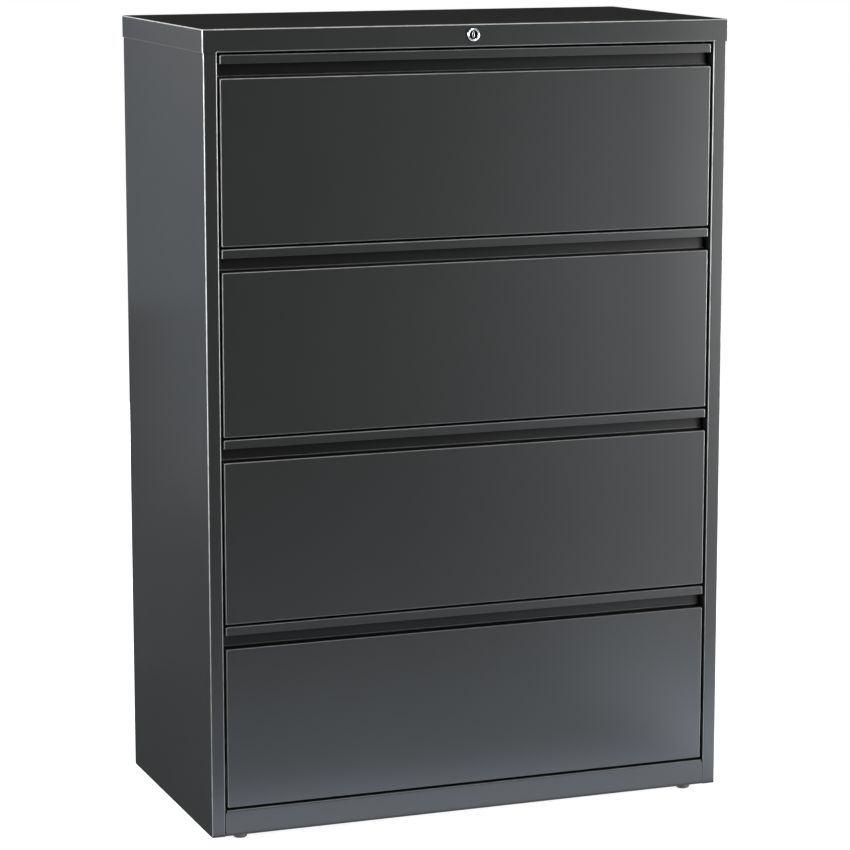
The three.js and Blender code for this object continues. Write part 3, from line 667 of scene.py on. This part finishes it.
low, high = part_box("back_panel")
bm = block(low, high)
bead_at = BEAD_PLACE * (high.x - low.x)
ends = (low.z + BEAD_END, high.z - BEAD_END)
beads = outline_strips(bm, (0, 1, 0), X, (-bead_at, bead_at), BEAD_WIDTH, Z, ends)
for bead in beads:
    press_face(bm, bead, BEAD_SLOPE, (0, BEAD_RAISE, 0), BEAD_STEPS)
finish_piece("back", bm, powder_coat, "case", "powder_coat", "back_panel", fold_highlight=None)
print("back beads:", len(beads))

# %% [markdown]
# ## Screws
#
# Pan-head screws with a cross recess hold the back to the flanges, and the slides to the drawers. A screw
# starts as a short cylinder with a round rim. Eight cuts across its face outline the cross, which is pushed
# in. All screws of one row become one mesh, because they belong to one piece.

# %% Screw helper
HEAD_RADIUS = 4 * MM
HEAD_HEIGHT = 2.2 * MM
HEAD_EDGE = 1.32 * MM
HEAD_STEPS = 20
CROSS_WIDTH = 0.9 * MM
CROSS_LENGTH = 4.2 * MM
CROSS_DEPTH = 1.1 * MM


def in_cross(p):
    """Whether a place on a screw's face lies in its cross recess."""
    across, along = sorted((abs(p.x), abs(p.y)))
    return across < CROSS_WIDTH / 2 and along < CROSS_LENGTH / 2


def pan_head(place, axis):
    """A screw head that stands on a place and looks along an axis."""
    bm = bmesh.new()
    bmesh.ops.create_cone(bm, cap_ends=True, segments=HEAD_STEPS, radius1=HEAD_RADIUS, radius2=HEAD_RADIUS,
                          depth=HEAD_HEIGHT, matrix=Matrix.Translation((0, 0, HEAD_HEIGHT / 2)))
    round_off(bm, edges_where(bm, lambda p: near(p.z, HEAD_HEIGHT)), HEAD_EDGE, steps=3)
    for half in (CROSS_WIDTH / 2, CROSS_LENGTH / 2):
        for offset in (-half, half):
            cut(bm, (offset, 0, 0), (1, 0, 0), facing(bm, (0, 0, 1)))
            cut(bm, (0, offset, 0), (0, 1, 0), facing(bm, (0, 0, 1)))
    draw_out(bm, facing(bm, (0, 0, 1), in_cross), (0, 0, -CROSS_DEPTH))
    stand = Vector(axis).to_track_quat("Z", "Y").to_matrix().to_4x4()
    bmesh.ops.transform(bm, matrix=Matrix.Translation(place) @ stand, verts=bm.verts[:])
    return bm


def gather(parts):
    """Several meshes as one."""
    whole = bmesh.new()
    for part in parts:
        mesh = bpy.data.meshes.new("part")
        part.to_mesh(mesh)
        part.free()
        whole.from_mesh(mesh)
        bpy.data.meshes.remove(mesh)
    return whole


print("screw heads", mm(2 * HEAD_RADIUS), "mm across")

# %% Back screws
BACK_SCREWS = 5
SCREW_END = 70 * MM

low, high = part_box("back_panel")
step = (high.z - low.z - 2 * SCREW_END) / (BACK_SCREWS - 1)
places = [(sign * (high.x - REAR_FLANGE / 2), high.y, low.z + SCREW_END + row * step)
          for sign in SIDES.values() for row in range(BACK_SCREWS)]
bm = gather([pan_head(place, (0, 1, 0)) for place in places])
finish_piece("back_screws", bm, zinc_plate, "case", "zinc")
print("back screws:", len(places))

# %% [markdown]
# ## Drawer fronts
#
# A front is a shallow pan with a finger pull across its whole width: under a narrow lip the sheet runs back
# over a shelf, which climbs a little, to a wall, and the fingers reach in from below the lip. The pull is
# open at both ends. A closed block is easier to keep sound than one sheet with so many folds. So a channel
# is extruded into the block and its end walls are taken out, the upright edges are rounded, the space
# behind the lip is opened, the back is hollowed out for the tray, and the level folds are rounded last.

# %% Drawer front helper
LIP_HEIGHT = 14.3 * MM
PULL_OPENING = 23.3 * MM
PULL_DEPTH = 18 * MM
PULL_RISE = 2 * MM
LIP_GAUGE = 1.8 * MM
LIP_EDGE = 0.8 * MM
SKIN = 1.2 * MM
MERGE = 0.005 * MM


def open_pull(bm, front, panel_top, lip_foot):
    """Extrudes a channel that is open at both ends into the front of a block."""
    def in_band(p):
        return panel_top < p.z < lip_foot

    def end_faces(where):
        return facing(bm, (1, 0, 0), where) + facing(bm, (-1, 0, 0), where)

    for z in (panel_top, lip_foot):
        cut(bm, (0, 0, z), (0, 0, 1))
    cut(bm, (0, front + PULL_DEPTH, 0), (0, 1, 0), end_faces(in_band))
    draw_out(bm, facing(bm, (0, -1, 0), in_band), (0, PULL_DEPTH, 0))
    walls = end_faces(lambda p: in_band(p) and p.y < front + PULL_DEPTH)
    bmesh.ops.delete(bm, geom=walls, context="FACES")
    bmesh.ops.remove_doubles(bm, verts=bm.verts[:], dist=MERGE)


def drawer_front(low, high, panel_top, lip_foot):
    """The pan of a drawer front with its finger pull, in the space of its solid."""
    def under_lip(p):
        return near(p.z, lip_foot) and p.y > low.y + LIP_GAUGE

    def on_back(p):
        return near(p.y, high.y) and p.z < panel_top

    bm = block(low, high)
    open_pull(bm, low.y, panel_top, lip_foot)
    for end in (low.x, high.x):
        round_off(bm, edges_where(bm, lambda p: near(p.y, low.y) and near(p.x, end)), BEND)
    inner = (low.x + SKIN, high.x - SKIN)
    cut(bm, (0, low.y + LIP_GAUGE, 0), (0, 1, 0), facing(bm, (0, 0, -1), lambda p: near(p.z, lip_foot)))
    for x in inner:
        cut(bm, (x, 0, 0), (1, 0, 0), facing(bm, (0, 0, -1), under_lip))
    behind_lip = facing(bm, (0, 0, -1), lambda p: under_lip(p) and near(p.x, 0))
    draw_out(bm, behind_lip, (0, 0, LIP_HEIGHT - SKIN))
    for vert in bm.verts:
        if near(vert.co.z, panel_top) and near(vert.co.y, low.y + PULL_DEPTH):
            vert.co.z += PULL_RISE
    for x in inner:
        cut(bm, (x, 0, 0), (1, 0, 0), facing(bm, (0, 1, 0), on_back))
    foot, head = low.z + SKIN, panel_top - SKIN
    for z in (foot, head):
        cut(bm, (0, 0, z), (0, 0, 1), facing(bm, (0, 1, 0), on_back))
    hollow = facing(bm, (0, 1, 0), lambda p: on_back(p) and near(p.x, 0) and foot < p.z < head)
    draw_out(bm, hollow, (0, low.y + SHEET - high.y, 0))
    return bm


print("lip", mm(LIP_HEIGHT), "mm over an opening of", mm(PULL_OPENING), "mm")

# %% Drawer fronts
for number in DRAWERS:
    low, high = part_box(f"drawer_{number}_front")
    lip_foot = high.z - LIP_HEIGHT
    panel_top = lip_foot - PULL_OPENING
    pull_foot = Vector((0, low.y + PULL_DEPTH, panel_top + PULL_RISE))

    def in_pull(p):
        """Whether a place lies inside the pull, away from the bend at its foot."""
        return (low.y + BEND < p.y < pull_foot.y + HAIR and panel_top - HAIR < p.z < high.z - SKIN / 2
                and abs(p.x) < high.x - HAIR and (p - pull_foot).yz.length > BEND)

    bm = drawer_front(low, high, panel_top, lip_foot)
    for level in (low.z, high.z, panel_top):
        rim = edges_where(bm, lambda p: near(p.z, level) and p.y < low.y + BEND + HAIR)
        round_off(bm, [e for e in rim if e.calc_face_angle(0) > SHARP], BEND)
    lip = edges_where(bm, lambda p: near(p.z, lip_foot) and p.y < low.y + LIP_GAUGE + HAIR)
    round_off(bm, [e for e in lip if near(e.verts[0].co.y, e.verts[1].co.y)], LIP_EDGE, steps=3)
    corner = edges_where(bm, lambda p: near(p.z, pull_foot.z) and near(p.y, pull_foot.y))
    round_off(bm, corner, BEND - SHEET, steps=3)
    # painted shade inside the pull, darkest close under the lip
    paint_recess_shade(bm, in_pull, pull_foot.z, lip_foot)
    finish_piece(f"front_{number}", bm, powder_coat, f"drawer_{number}", "powder_coat",
                 f"drawer_{number}_front", fold_highlight=FRONT_FOLD_HIGHLIGHT)
print("fronts", mm(high.x - low.x), "by", mm(high.z - low.z), "mm")

# %% [markdown]
# ## Trays
#
# The tray is a folded box, open above, that hangs between the slides. Three beads across its floor stiffen
# it, and a tab on each side is what the lock bar and the interlock bar catch. An open cube with round
# folds, solidified inwards, makes the box, and the beads are inset strips that are pushed up.

# %% Catch on a tray
CATCH_RISE = 112 * MM
CATCH_SIZE = 10 * MM
CATCH_DEPTH = 3 * MM
CATCH_EDGE = 0.6 * MM
BAR_GAP = 2 * MM
CATCH_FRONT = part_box("lock_bar")[1].y + BAR_GAP
CATCH_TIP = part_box("drawer_1_tray")[1].x
TRAY_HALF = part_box("drawer_1_hanging_frame")[1].x


def catch(sign, foot):
    """The tab on one side of a tray that a bar can stand behind."""
    inner, outer = sorted((sign * (TRAY_HALF - SHEET / 2), sign * CATCH_TIP))
    tab = block((inner, CATCH_FRONT, foot), (outer, CATCH_FRONT + CATCH_DEPTH, foot + CATCH_SIZE))
    round_off(tab, tab.edges[:], CATCH_EDGE, steps=2)
    return tab


print("catches reach", mm(CATCH_TIP - TRAY_HALF), "mm past the tray")

# %% Trays
FLOOR_BEADS = (-0.25, 0.0, 0.25)
FLOOR_BEAD_WIDTH = 26 * MM
FLOOR_BEAD_END = 70 * MM
FLOOR_BEAD_SLOPE = 6 * MM
FLOOR_BEAD_RAISE = 3 * MM

for number in DRAWERS:
    low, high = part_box(f"drawer_{number}_tray")
    low.x, high.x = -TRAY_HALF, TRAY_HALF
    bm = block(low, high)
    bmesh.ops.delete(bm, geom=facing(bm, (0, 0, 1)), context="FACES_ONLY")
    round_off(bm, [e for e in bm.edges if len(e.link_faces) == 2], BEND)
    rows = [(low.y + high.y) / 2 + share * (high.y - low.y) for share in FLOOR_BEADS]
    ends = (low.x + FLOOR_BEAD_END, high.x - FLOOR_BEAD_END)
    beads = outline_strips(bm, (0, 0, -1), Y, rows, FLOOR_BEAD_WIDTH, X, ends)
    for bead in beads:
        press_face(bm, bead, FLOOR_BEAD_SLOPE, (0, 0, FLOOR_BEAD_RAISE))
    bm.normal_update()
    bmesh.ops.solidify(bm, geom=bm.faces[:], thickness=SHEET)
    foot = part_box(f"drawer_{number}_front")[0].z + CATCH_RISE
    bm = gather([bm, *[catch(sign, foot) for sign in SIDES.values()]])
    finish_piece(f"tray_{number}", bm, powder_coat, f"drawer_{number}", "powder_coat",
                 f"drawer_{number}_tray", fold_highlight=None)
print("trays", mm(2 * TRAY_HALF), "mm wide, floor beads:", len(beads))

# %% [markdown]
# ## Lock
#
# The lock is a die casting: a chromed bezel with a round crown, a bore, and deep in it the plug with its
# keyway. The bezel is a turned part, so a profile is spun about the lock's axis. A rubber washer seals it
# against the skirt; its near-black ring is painted shade round the bezel. The plug starts as a cylinder:
# its face is inset and pushed back to a dish, the keyway is cut into that by four planes and pushed back
# further, and a square tail for the cam is drawn out of its other end. A bright frame round the keyway, a
# block with a hole bridged through it, turns with the plug.

# %% Lock housing
TURN_STEPS = 48
BEZEL = 10.75 * MM
BARREL = 9 * MM
BORE = 7.3 * MM
ROUND = (BEZEL - BORE) / 2
UNDERCUT = 1.0 * MM
WASHER = 0.5 * MM
WASHER_PLAY = 0.1 * MM
WASHER_EDGE = 11.8 * MM
WASHER_BEVEL = 0.2 * MM
CROWN_STEPS = 10


def turned_about(profile, centre, axis, steps=TURN_STEPS):
    """Spins an open profile of (radius, height) about an axis through a centre."""
    bm = bmesh.new()
    along = Vector(axis)
    across = along.orthogonal().normalized()
    line = [bm.verts.new(Vector(centre) + across * r + along * h) for r, h in profile]
    edges = [bm.edges.new(pair) for pair in zip(line, line[1:])]
    bmesh.ops.spin(bm, geom=line + edges, cent=centre, axis=axis, angle=2 * math.pi, steps=steps,
                   use_merge=True)
    bmesh.ops.remove_doubles(bm, verts=bm.verts[:], dist=MERGE)
    bmesh.ops.recalc_face_normals(bm, faces=bm.faces[:])
    return bm


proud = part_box("top_panel")[0].y - lock_low.y
length = lock_high.y - lock_low.y
centre = Vector((lock_at.x, lock_low.y, lock_at.z))
crown = [math.pi * step / CROWN_STEPS for step in range(CROWN_STEPS + 1)]
bezel_foot = proud - WASHER
profile = [(BORE, length)]
profile += [(BEZEL - ROUND - ROUND * math.cos(a), ROUND * (1 - math.sin(a))) for a in crown]
profile += [(BEZEL - UNDERCUT, bezel_foot), (BARREL, bezel_foot), (BARREL, length), (BORE, length)]
bm = turned_about(profile, centre, (0, 1, 0))
finish_piece("lock_bezel", bm, chrome, "case", "chrome", "lock_housing")
# a rubber washer under the bezel: a real part whose near-black ring is painted shade
fit = BARREL + WASHER_PLAY
washer = [(fit, proud), (fit, bezel_foot), (WASHER_EDGE - WASHER_BEVEL, bezel_foot),
          (WASHER_EDGE, proud - WASHER / 2), (WASHER_EDGE, proud), (fit, proud)]
bm = turned_about(washer, centre, (0, 1, 0))
finish_piece("lock_washer", bm, shadow_ring_rubber, "case", "glide_plastic")
print("bezel", mm(2 * BEZEL), "mm across and", mm(proud), "mm proud")

# %% Lock plug
PLUG = 7 * MM
PLUG_EDGE = 0.5 * MM
PLUG_DROP = 2.4 * MM
DISH = 5.2 * MM
DISH_DEPTH = 0.7 * MM
KEYWAY_WIDTH = 2 * MM
KEYWAY_HEIGHT = 7 * MM
KEYWAY_DEPTH = 6 * MM
TAIL = 5 * MM

plug_face = lock_low.y + PLUG_DROP
dish_face = plug_face + DISH_DEPTH
plug_end = lock_high.y
bm = bmesh.new()
bmesh.ops.create_cone(bm, cap_ends=True, segments=TURN_STEPS, radius1=PLUG, radius2=PLUG,
                      depth=plug_end - plug_face, matrix=on_lock((plug_face + plug_end) / 2))
round_off(bm, edges_where(bm, lambda p: near(p.y, plug_face)), PLUG_EDGE, steps=3)
face = facing(bm, (0, -1, 0), lambda p: near(p.y, plug_face))
bmesh.ops.inset_region(bm, faces=face, thickness=PLUG - PLUG_EDGE - DISH, use_even_offset=True)
draw_out(bm, face, (0, DISH_DEPTH, 0))
outline_at_lock(bm, KEYWAY_WIDTH / 2, KEYWAY_HEIGHT / 2, (0, -1, 0), lambda p: near(p.y, dish_face))
keyway = facing(bm, (0, -1, 0), lambda p: near(p.y, dish_face) and at_lock(p))
draw_out(bm, keyway, (0, KEYWAY_DEPTH, 0))
outline_at_lock(bm, TAIL / 2, TAIL / 2, (0, 1, 0), lambda p: near(p.y, plug_end))
tail = facing(bm, (0, 1, 0), lambda p: near(p.y, plug_end) and at_lock(p))
draw_out(bm, tail, (0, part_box("lock_plug")[1].y - plug_end, 0))
finish_piece("lock_plug_face", bm, dark_nickel_and_shade, "lock_plug", "chrome", "lock_plug")
print("keyway faces pushed back:", len(keyway))

# %% Keyway frame
FRAME_WIDTH = 1.1 * MM
FRAME_PROUD = 0.9 * MM
FRAME_EDGE = 0.5 * MM

half = Vector((KEYWAY_WIDTH / 2 + FRAME_WIDTH, 0, KEYWAY_HEIGHT / 2 + FRAME_WIDTH))
middle = Vector((lock_at.x, dish_face, lock_at.z))
bm = block(middle - half - Vector((0, FRAME_PROUD, 0)), middle + half)
for ends in (facing(bm, (0, -1, 0)), facing(bm, (0, 1, 0))):
    bmesh.ops.inset_individual(bm, faces=ends, thickness=FRAME_WIDTH, use_even_offset=True)
holes = facing(bm, (0, -1, 0), at_lock) + facing(bm, (0, 1, 0), at_lock)
rims = [e for f in holes for e in f.edges]
bmesh.ops.delete(bm, geom=holes, context="FACES_ONLY")
bmesh.ops.bridge_loops(bm, edges=rims)
bmesh.ops.recalc_face_normals(bm, faces=bm.faces[:])
crest = edges_where(bm, lambda p: near(p.y, dish_face - FRAME_PROUD))
round_off(bm, [e for e in crest if e.calc_face_angle(0) > SHARP], FRAME_EDGE, steps=3)
print("keyway frame faces:", len(bm.faces))
finish_piece("lock_keyway_frame", bm, chrome, "lock_plug", "chrome")

# %% [markdown]
# ## Levelling glides
#
# A glide is a threaded stem with a black nylon collar under the case and a grey sole, domed so that it
# slides. Both are turned shapes, so their profiles are spun about the upright axis; the sole fills a step
# in the collar.

# %% Glides
SOLE = 2.8 * MM
SOLE_FLAT = 6.5 * MM
SOLE_REST = 1 * MM
SOLE_PLAY = 0.3 * MM
STEP_WIDTH = 2 * MM
COLLAR_TOP = 7.7 * MM
COLLAR_EDGE = 0.5 * MM
STEM = 4 * MM
DOME_STEPS = 4

quarter = [math.pi / 2 * step / DOME_STEPS for step in range(DOME_STEPS + 1)]
for end in ("front", "rear"):
    for side in SIDES:
        name = f"glide_{end}_{side}"
        low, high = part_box(name)
        radius = (high.x - low.x) / 2
        centre = Vector(((low.x + high.x) / 2, (low.y + high.y) / 2, 0))
        step = radius - STEP_WIDTH
        rim = radius - COLLAR_EDGE
        collar = [(0, SOLE_REST), (step, SOLE_REST), (step, SOLE + SOLE_PLAY), (radius, SOLE + SOLE_PLAY),
                  (radius, COLLAR_TOP - COLLAR_EDGE), (rim, COLLAR_TOP), (STEM, COLLAR_TOP),
                  (STEM, high.z), (0, high.z)]
        bm = turned_about(collar, centre, (0, 0, 1))
        finish_piece(f"{name}_foot", bm, nylon, name, "glide_plastic", name)
        dome = [(SOLE_FLAT + (rim - SOLE_FLAT) * math.sin(a), SOLE * (1 - math.cos(a))) for a in quarter]
        sole = [(0, 0), *dome, (step, SOLE), (step, SOLE_REST), (0, SOLE_REST)]
        bm = turned_about(sole, centre, (0, 0, 1))
        finish_piece(f"{name}_sole", bm, grey_nylon, name, "glide_plastic")
print("glides", mm(2 * radius), "mm across")

# %% [markdown]
# ## Slides
#
# Each drawer runs on two telescopic slides of rolled strip. The middle member is a channel with inturned
# lips, whose web shows beside an open drawer. A long rib, pressed inwards, stiffens it. It is folded as the
# panels are, and the rib is a strip of the web that is inset and pushed in. Three screws hold each inner
# member to its tray.

# %% Rib of a slide
RIB_WIDTH = 10 * MM
RIB_END = 28 * MM
RIB_SLOPE = 2 * MM
RIB_DEPTH = 0.9 * MM


def pressed_rib(outward, low, high):
    """A trim that presses a rib into the web of a channel."""
    def press(bm):
        middle = (low.z + high.z) / 2
        ends = (low.y + RIB_END, high.y - RIB_END)
        for rib in outline_strips(bm, outward, Z, (middle,), RIB_WIDTH, Y, ends):
            press_face(bm, rib, RIB_SLOPE, -RIB_DEPTH * Vector(outward))
    return press


print("rib", mm(RIB_WIDTH), "mm wide and", mm(RIB_DEPTH), "mm deep")

# %% Slides
SLIDE_GAUGE = 1.2 * MM
SLIDE_BEND = 1.6 * MM
LIPS_APART = 28.6 * MM
SLIDE_SCREWS = (0.08, 0.34, 0.72)

for number in DRAWERS:
    for side, sign in SIDES.items():
        name = f"drawer_{number}_slide_middle_{side}"
        low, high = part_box(name)
        web, lips = (high.x, low.x) if sign > 0 else (low.x, high.x)
        lip = (high.z - low.z - LIPS_APART) / 2
        section = [(lips, low.z + lip), (lips, low.z), (web, low.z),
                   (web, high.z), (lips, high.z), (lips, high.z - lip)]
        bm = folded_sheet([(x, low.y, z) for x, z in section], (0, high.y - low.y, 0), (-sign, 0, 0),
                          SLIDE_BEND, SLIDE_GAUGE, pressed_rib((sign, 0, 0), low, high))
        finish_piece(f"slide_middle_{number}_{side}", bm, zinc_plate, f"drawer_{number}_slide_middles",
                     "zinc", name)
        low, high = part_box(f"drawer_{number}_slide_inner_{side}")
        seat = (low.x if sign > 0 else high.x) + sign * SLIDE_GAUGE
        height = (low.z + high.z) / 2
        places = [(seat, low.y + share * (high.y - low.y), height) for share in SLIDE_SCREWS]
        bm = gather([pan_head(place, (sign, 0, 0)) for place in places])
        finish_piece(f"slide_screws_{number}_{side}", bm, zinc_plate, f"drawer_{number}", "zinc")
print("slides", mm(high.y - low.y), "mm long")

# %% [markdown]
# ## Inner metalwork
#
# The other slide members, the uprights, the file rails and the locking gear keep their solids: their shapes
# are already right. Stamped strip has slightly round edges, so a weld joins the loose triangles and a
# narrow bevel softens what is sharp.

# %% Finishes of the inner solids
EDGE = 0.3 * MM
EDGE_ANGLE = math.radians(40)
FINISHES = {"powder_coat": powder_coat, "zinc": zinc_plate, "chrome": chrome, "cast_iron": cast_iron,
            "glide_plastic": nylon}
slot_of = {part["node"]: part["material_slot"] for part in frame["record"]["subparts"]}

for name, solid in nodes.items():
    solid.data.materials.clear()
    solid.data.materials.append(FINISHES[slot_of[name]])
    weld = solid.modifiers.new("joined corners", "WELD")
    weld.merge_threshold = MERGE
    soft = solid.modifiers.new("soft edges", "BEVEL")
    soft.width = EDGE
    soft.segments = 2
    soft.limit_method = "ANGLE"
    soft.angle_limit = EDGE_ANGLE
print("finishes on", len(nodes), "solids")

# %% [markdown]
# ## Floor
#
# A studio sweep: a wide pale floor of matt paint, which takes the shadow. A photographer lights such a
# sweep until it shows white. Here the paint glows a little for the camera and for reflections alike, and
# lights nothing by itself.

# %% Floor
FLOOR_HALF = 60.0
FLOOR_GLOW = 0.88


def seen_directly(tree):
    """One for the camera, for reflections and through glass, and nought for light on a surface."""
    ray = add_node(tree, "ShaderNodeLightPath")
    mirrored = add_node(tree, "ShaderNodeMath", {
        0: ray.outputs["Is Camera Ray"], 1: ray.outputs["Is Glossy Ray"]}, operation="ADD")
    seen = add_node(tree, "ShaderNodeMath", {
        0: mirrored.outputs["Value"], 1: ray.outputs["Is Transmission Ray"]},
        operation="ADD", use_clamp=True)
    return seen.outputs["Value"]


floor_paint, tree = new_finish("matt white studio floor")
glow = add_node(tree, "ShaderNodeMath", {0: seen_directly(tree), 1: FLOOR_GLOW}, operation="MULTIPLY")
shader = add_node(tree, "ShaderNodeBsdfPrincipled", {
    "Base Color": linear("#e6e6e6"), "Roughness": 0.9, "Specular IOR Level": 0.0,
    "Emission Color": linear("#ffffff"), "Emission Strength": glow.outputs["Value"]})
add_node(tree, "ShaderNodeOutputMaterial", {"Surface": shader.outputs["BSDF"]})

bm = bmesh.new()
bmesh.ops.create_grid(bm, x_segments=1, y_segments=1, size=FLOOR_HALF)
floor = add_object("floor", bm, floor_paint)
print("floor", 2 * FLOOR_HALF, "m wide")

# %% [markdown]
# ## Light
#
# Two soft lights stand to the right in front, so the fronts brighten towards the right and the shadow falls
# to the left and behind. They are lower than the cabinet, because the flat top would mirror a taller one. A
# light on each side draws the bright lines along the upright folds, one high overhead draws those along the
# level ones, and a low lamp lights the back for whoever walks round the cabinet. The white room shows to
# the camera and in reflections, and lights little.

# %% Lights
MIDDLE = Vector((0, 0, 0.7))
DAYLIGHT = "#f4f8ff"


def soft_light(name, place, size, power):
    """A rectangular lamp that looks at the middle of the cabinet."""
    lamp = bpy.data.lights.new(name, "AREA")
    lamp.shape = "RECTANGLE"
    lamp.size, lamp.size_y = size
    lamp.energy = power
    lamp.color = linear(DAYLIGHT)[:3]
    stand = bpy.data.objects.new(name, lamp)
    stand.location = place
    stand.rotation_euler = (MIDDLE - Vector(place)).to_track_quat("-Z", "Y").to_euler()
    stand.visible_camera = False
    bpy.context.scene.collection.objects.link(stand)


soft_light("right light", (2.6, -3.04, 0.66), (0.8, 1.28), 52)
soft_light("right low light", (2.83, -2.83, 0.5), (0.8, 1.0), 45)
soft_light("left light", (-3.8, -0.4, 1.5), (0.6, 2.4), 215)
soft_light("right side light", (3.6, -0.9, 0.66), (0.6, 1.28), 80)
soft_light("high light", (0.2, -1.6, 4.4), (1.6, 0.8), 80)
soft_light("back light", (0.35, 4.0, 0.65), (1.3, 1.2), 70)

# %% White room
ROOM_LIGHT = 0.15
ROOM_WHITE = 1.0

world = bpy.data.worlds.new("studio")
world.use_nodes = True
tree = world.node_tree
tree.nodes.clear()
dim = add_node(tree, "ShaderNodeBackground", {"Color": linear("#ffffff"), "Strength": ROOM_LIGHT})
white = add_node(tree, "ShaderNodeBackground", {"Color": linear("#ffffff"), "Strength": ROOM_WHITE})
both = add_node(tree, "ShaderNodeMixShader", {
    0: seen_directly(tree), 1: dim.outputs["Background"], 2: white.outputs["Background"]})
add_node(tree, "ShaderNodeOutputWorld", {"Surface": both.outputs["Shader"]})
bpy.context.scene.world = world
print("the room lights with a strength of", ROOM_LIGHT)

# %% [markdown]
# ## Cards and flags
#
# Semi-gloss paint mirrors the white studio and would look milky. Photographers hang black cloth where the
# paint would see it, and set bright cards where a surface should shine. Here black covers the sky behind,
# for the flat top, and the floor in front and to the left. Bright cards lie before the base, two more stand
# beside its right end for the upright folds, and two dim flags beside the back shade the left side. All of
# them show only in reflections.

# %% Cards and flags
NEUTRAL = "#ffffff"
COOL = "#e6f0ff"
CARD_RISE = 0.01
FLAG_RISE = 0.002


def flat(*plan, z=CARD_RISE):
    """The corners of a card that lies just above the floor."""
    return [(x, y, z) for x, y in plan]


def strip(x0, x1, y0, y1, z=CARD_RISE):
    """The corners of a rectangular card that lies just above the floor."""
    return flat((x0, y0), (x0, y1), (x1, y1), (x1, y0), z=z)


def stood(x0, x1, z0, z1, y):
    """The corners of a rectangular card that stands upright."""
    return [(x0, y, z0), (x1, y, z0), (x1, y, z1), (x0, y, z1)]


CARDS = {
    "upright flag in front": (NEUTRAL, 0.15, stood(-24, 30, 0, 11, -16)),
    "flag behind": (NEUTRAL, 0.0, stood(-1, 6, 1.4, 12, 6)),
    "flag in front": (NEUTRAL, 0.0, flat((-2.5, -2.1), (1.14, -2.1), (2.35, -4.4), (14, -6), (14, -30),
                                         (-2.5, -30))),
    "dim card in front": (COOL, 0.7, flat((-2.5, -2.1), (-2.5, -1.1), (0.62, -1.1), (1.14, -2.1))),
    "upper card on the right": (NEUTRAL, 3.7, stood(0.66, 1.3, 0.6, 1.45, -0.8)),
    "lower card on the right": (NEUTRAL, 2.2, stood(0.66, 1.3, 0.05, 0.6, -0.8)),
    "flag to the left": (COOL, 0.08, strip(-8, -0.455, -0.24, 2.6, FLAG_RISE)),
    "grey card to the left": (COOL, 0.42, strip(-14, -0.462, 2.6, 30)),
    "bright card at the base": (COOL, 4.9, strip(-0.8, 0.5, -0.45, -0.24)),
    "bright card in front": (COOL, 2.0, strip(-0.9, 0.5, -1.1, -0.45)),
    "bright card on the right": (COOL, 5.2, strip(0.5, 4, -1.1, -0.6)),
    "bright card beside the base": (COOL, 7.0, strip(0.5, 4, -0.6, -0.24)),
    "upper flag beside the back": (COOL, 0.36, stood(-0.7, -0.46, 0.75, 1.4, 0.8)),
    "lower flag beside the back": (COOL, 0.13, stood(-0.7, -0.46, 0.02, 0.75, 0.8)),
}
for name, (tint, brightness, corners) in CARDS.items():
    cloth, tree = new_finish(name)
    shader = add_node(tree, "ShaderNodeEmission", {"Color": linear(tint), "Strength": brightness})
    add_node(tree, "ShaderNodeOutputMaterial", {"Surface": shader.outputs["Emission"]})
    bm = bmesh.new()
    bm.faces.new([bm.verts.new(corner) for corner in corners])
    card = add_object(name, bm, cloth)
    card.visible_camera = False
    card.visible_diffuse = False
    card.visible_shadow = False
    card.visible_transmission = False
print("cards and flags:", len(CARDS))

# %% [markdown]
# ## Camera
#
# The photograph was taken from the left in front, a little above the cabinet, with a long lens. The camera
# was found by fitting the cabinet's corners to the picture. It has no shift, so the upright edges lean in
# slightly towards the floor.

# %% Camera
SENSOR = 36.0
LENS = 135.5
DOWN = math.radians(10.16)
TURN = math.radians(20.63)
FAR = 200
CAMERA_PLACE = (-1.916, -5.103, 1.609)

lens = bpy.data.cameras.new("camera")
lens.sensor_width = SENSOR
lens.lens = LENS
lens.clip_end = FAR
camera = bpy.data.objects.new("camera", lens)
camera.location = CAMERA_PLACE
camera.rotation_euler = (math.pi / 2 - DOWN, 0, -TURN)
bpy.context.scene.collection.objects.link(camera)
bpy.context.scene.camera = camera
bpy.context.scene.view_settings.view_transform = "Standard"
print("camera at", CAMERA_PLACE, "lens", LENS)
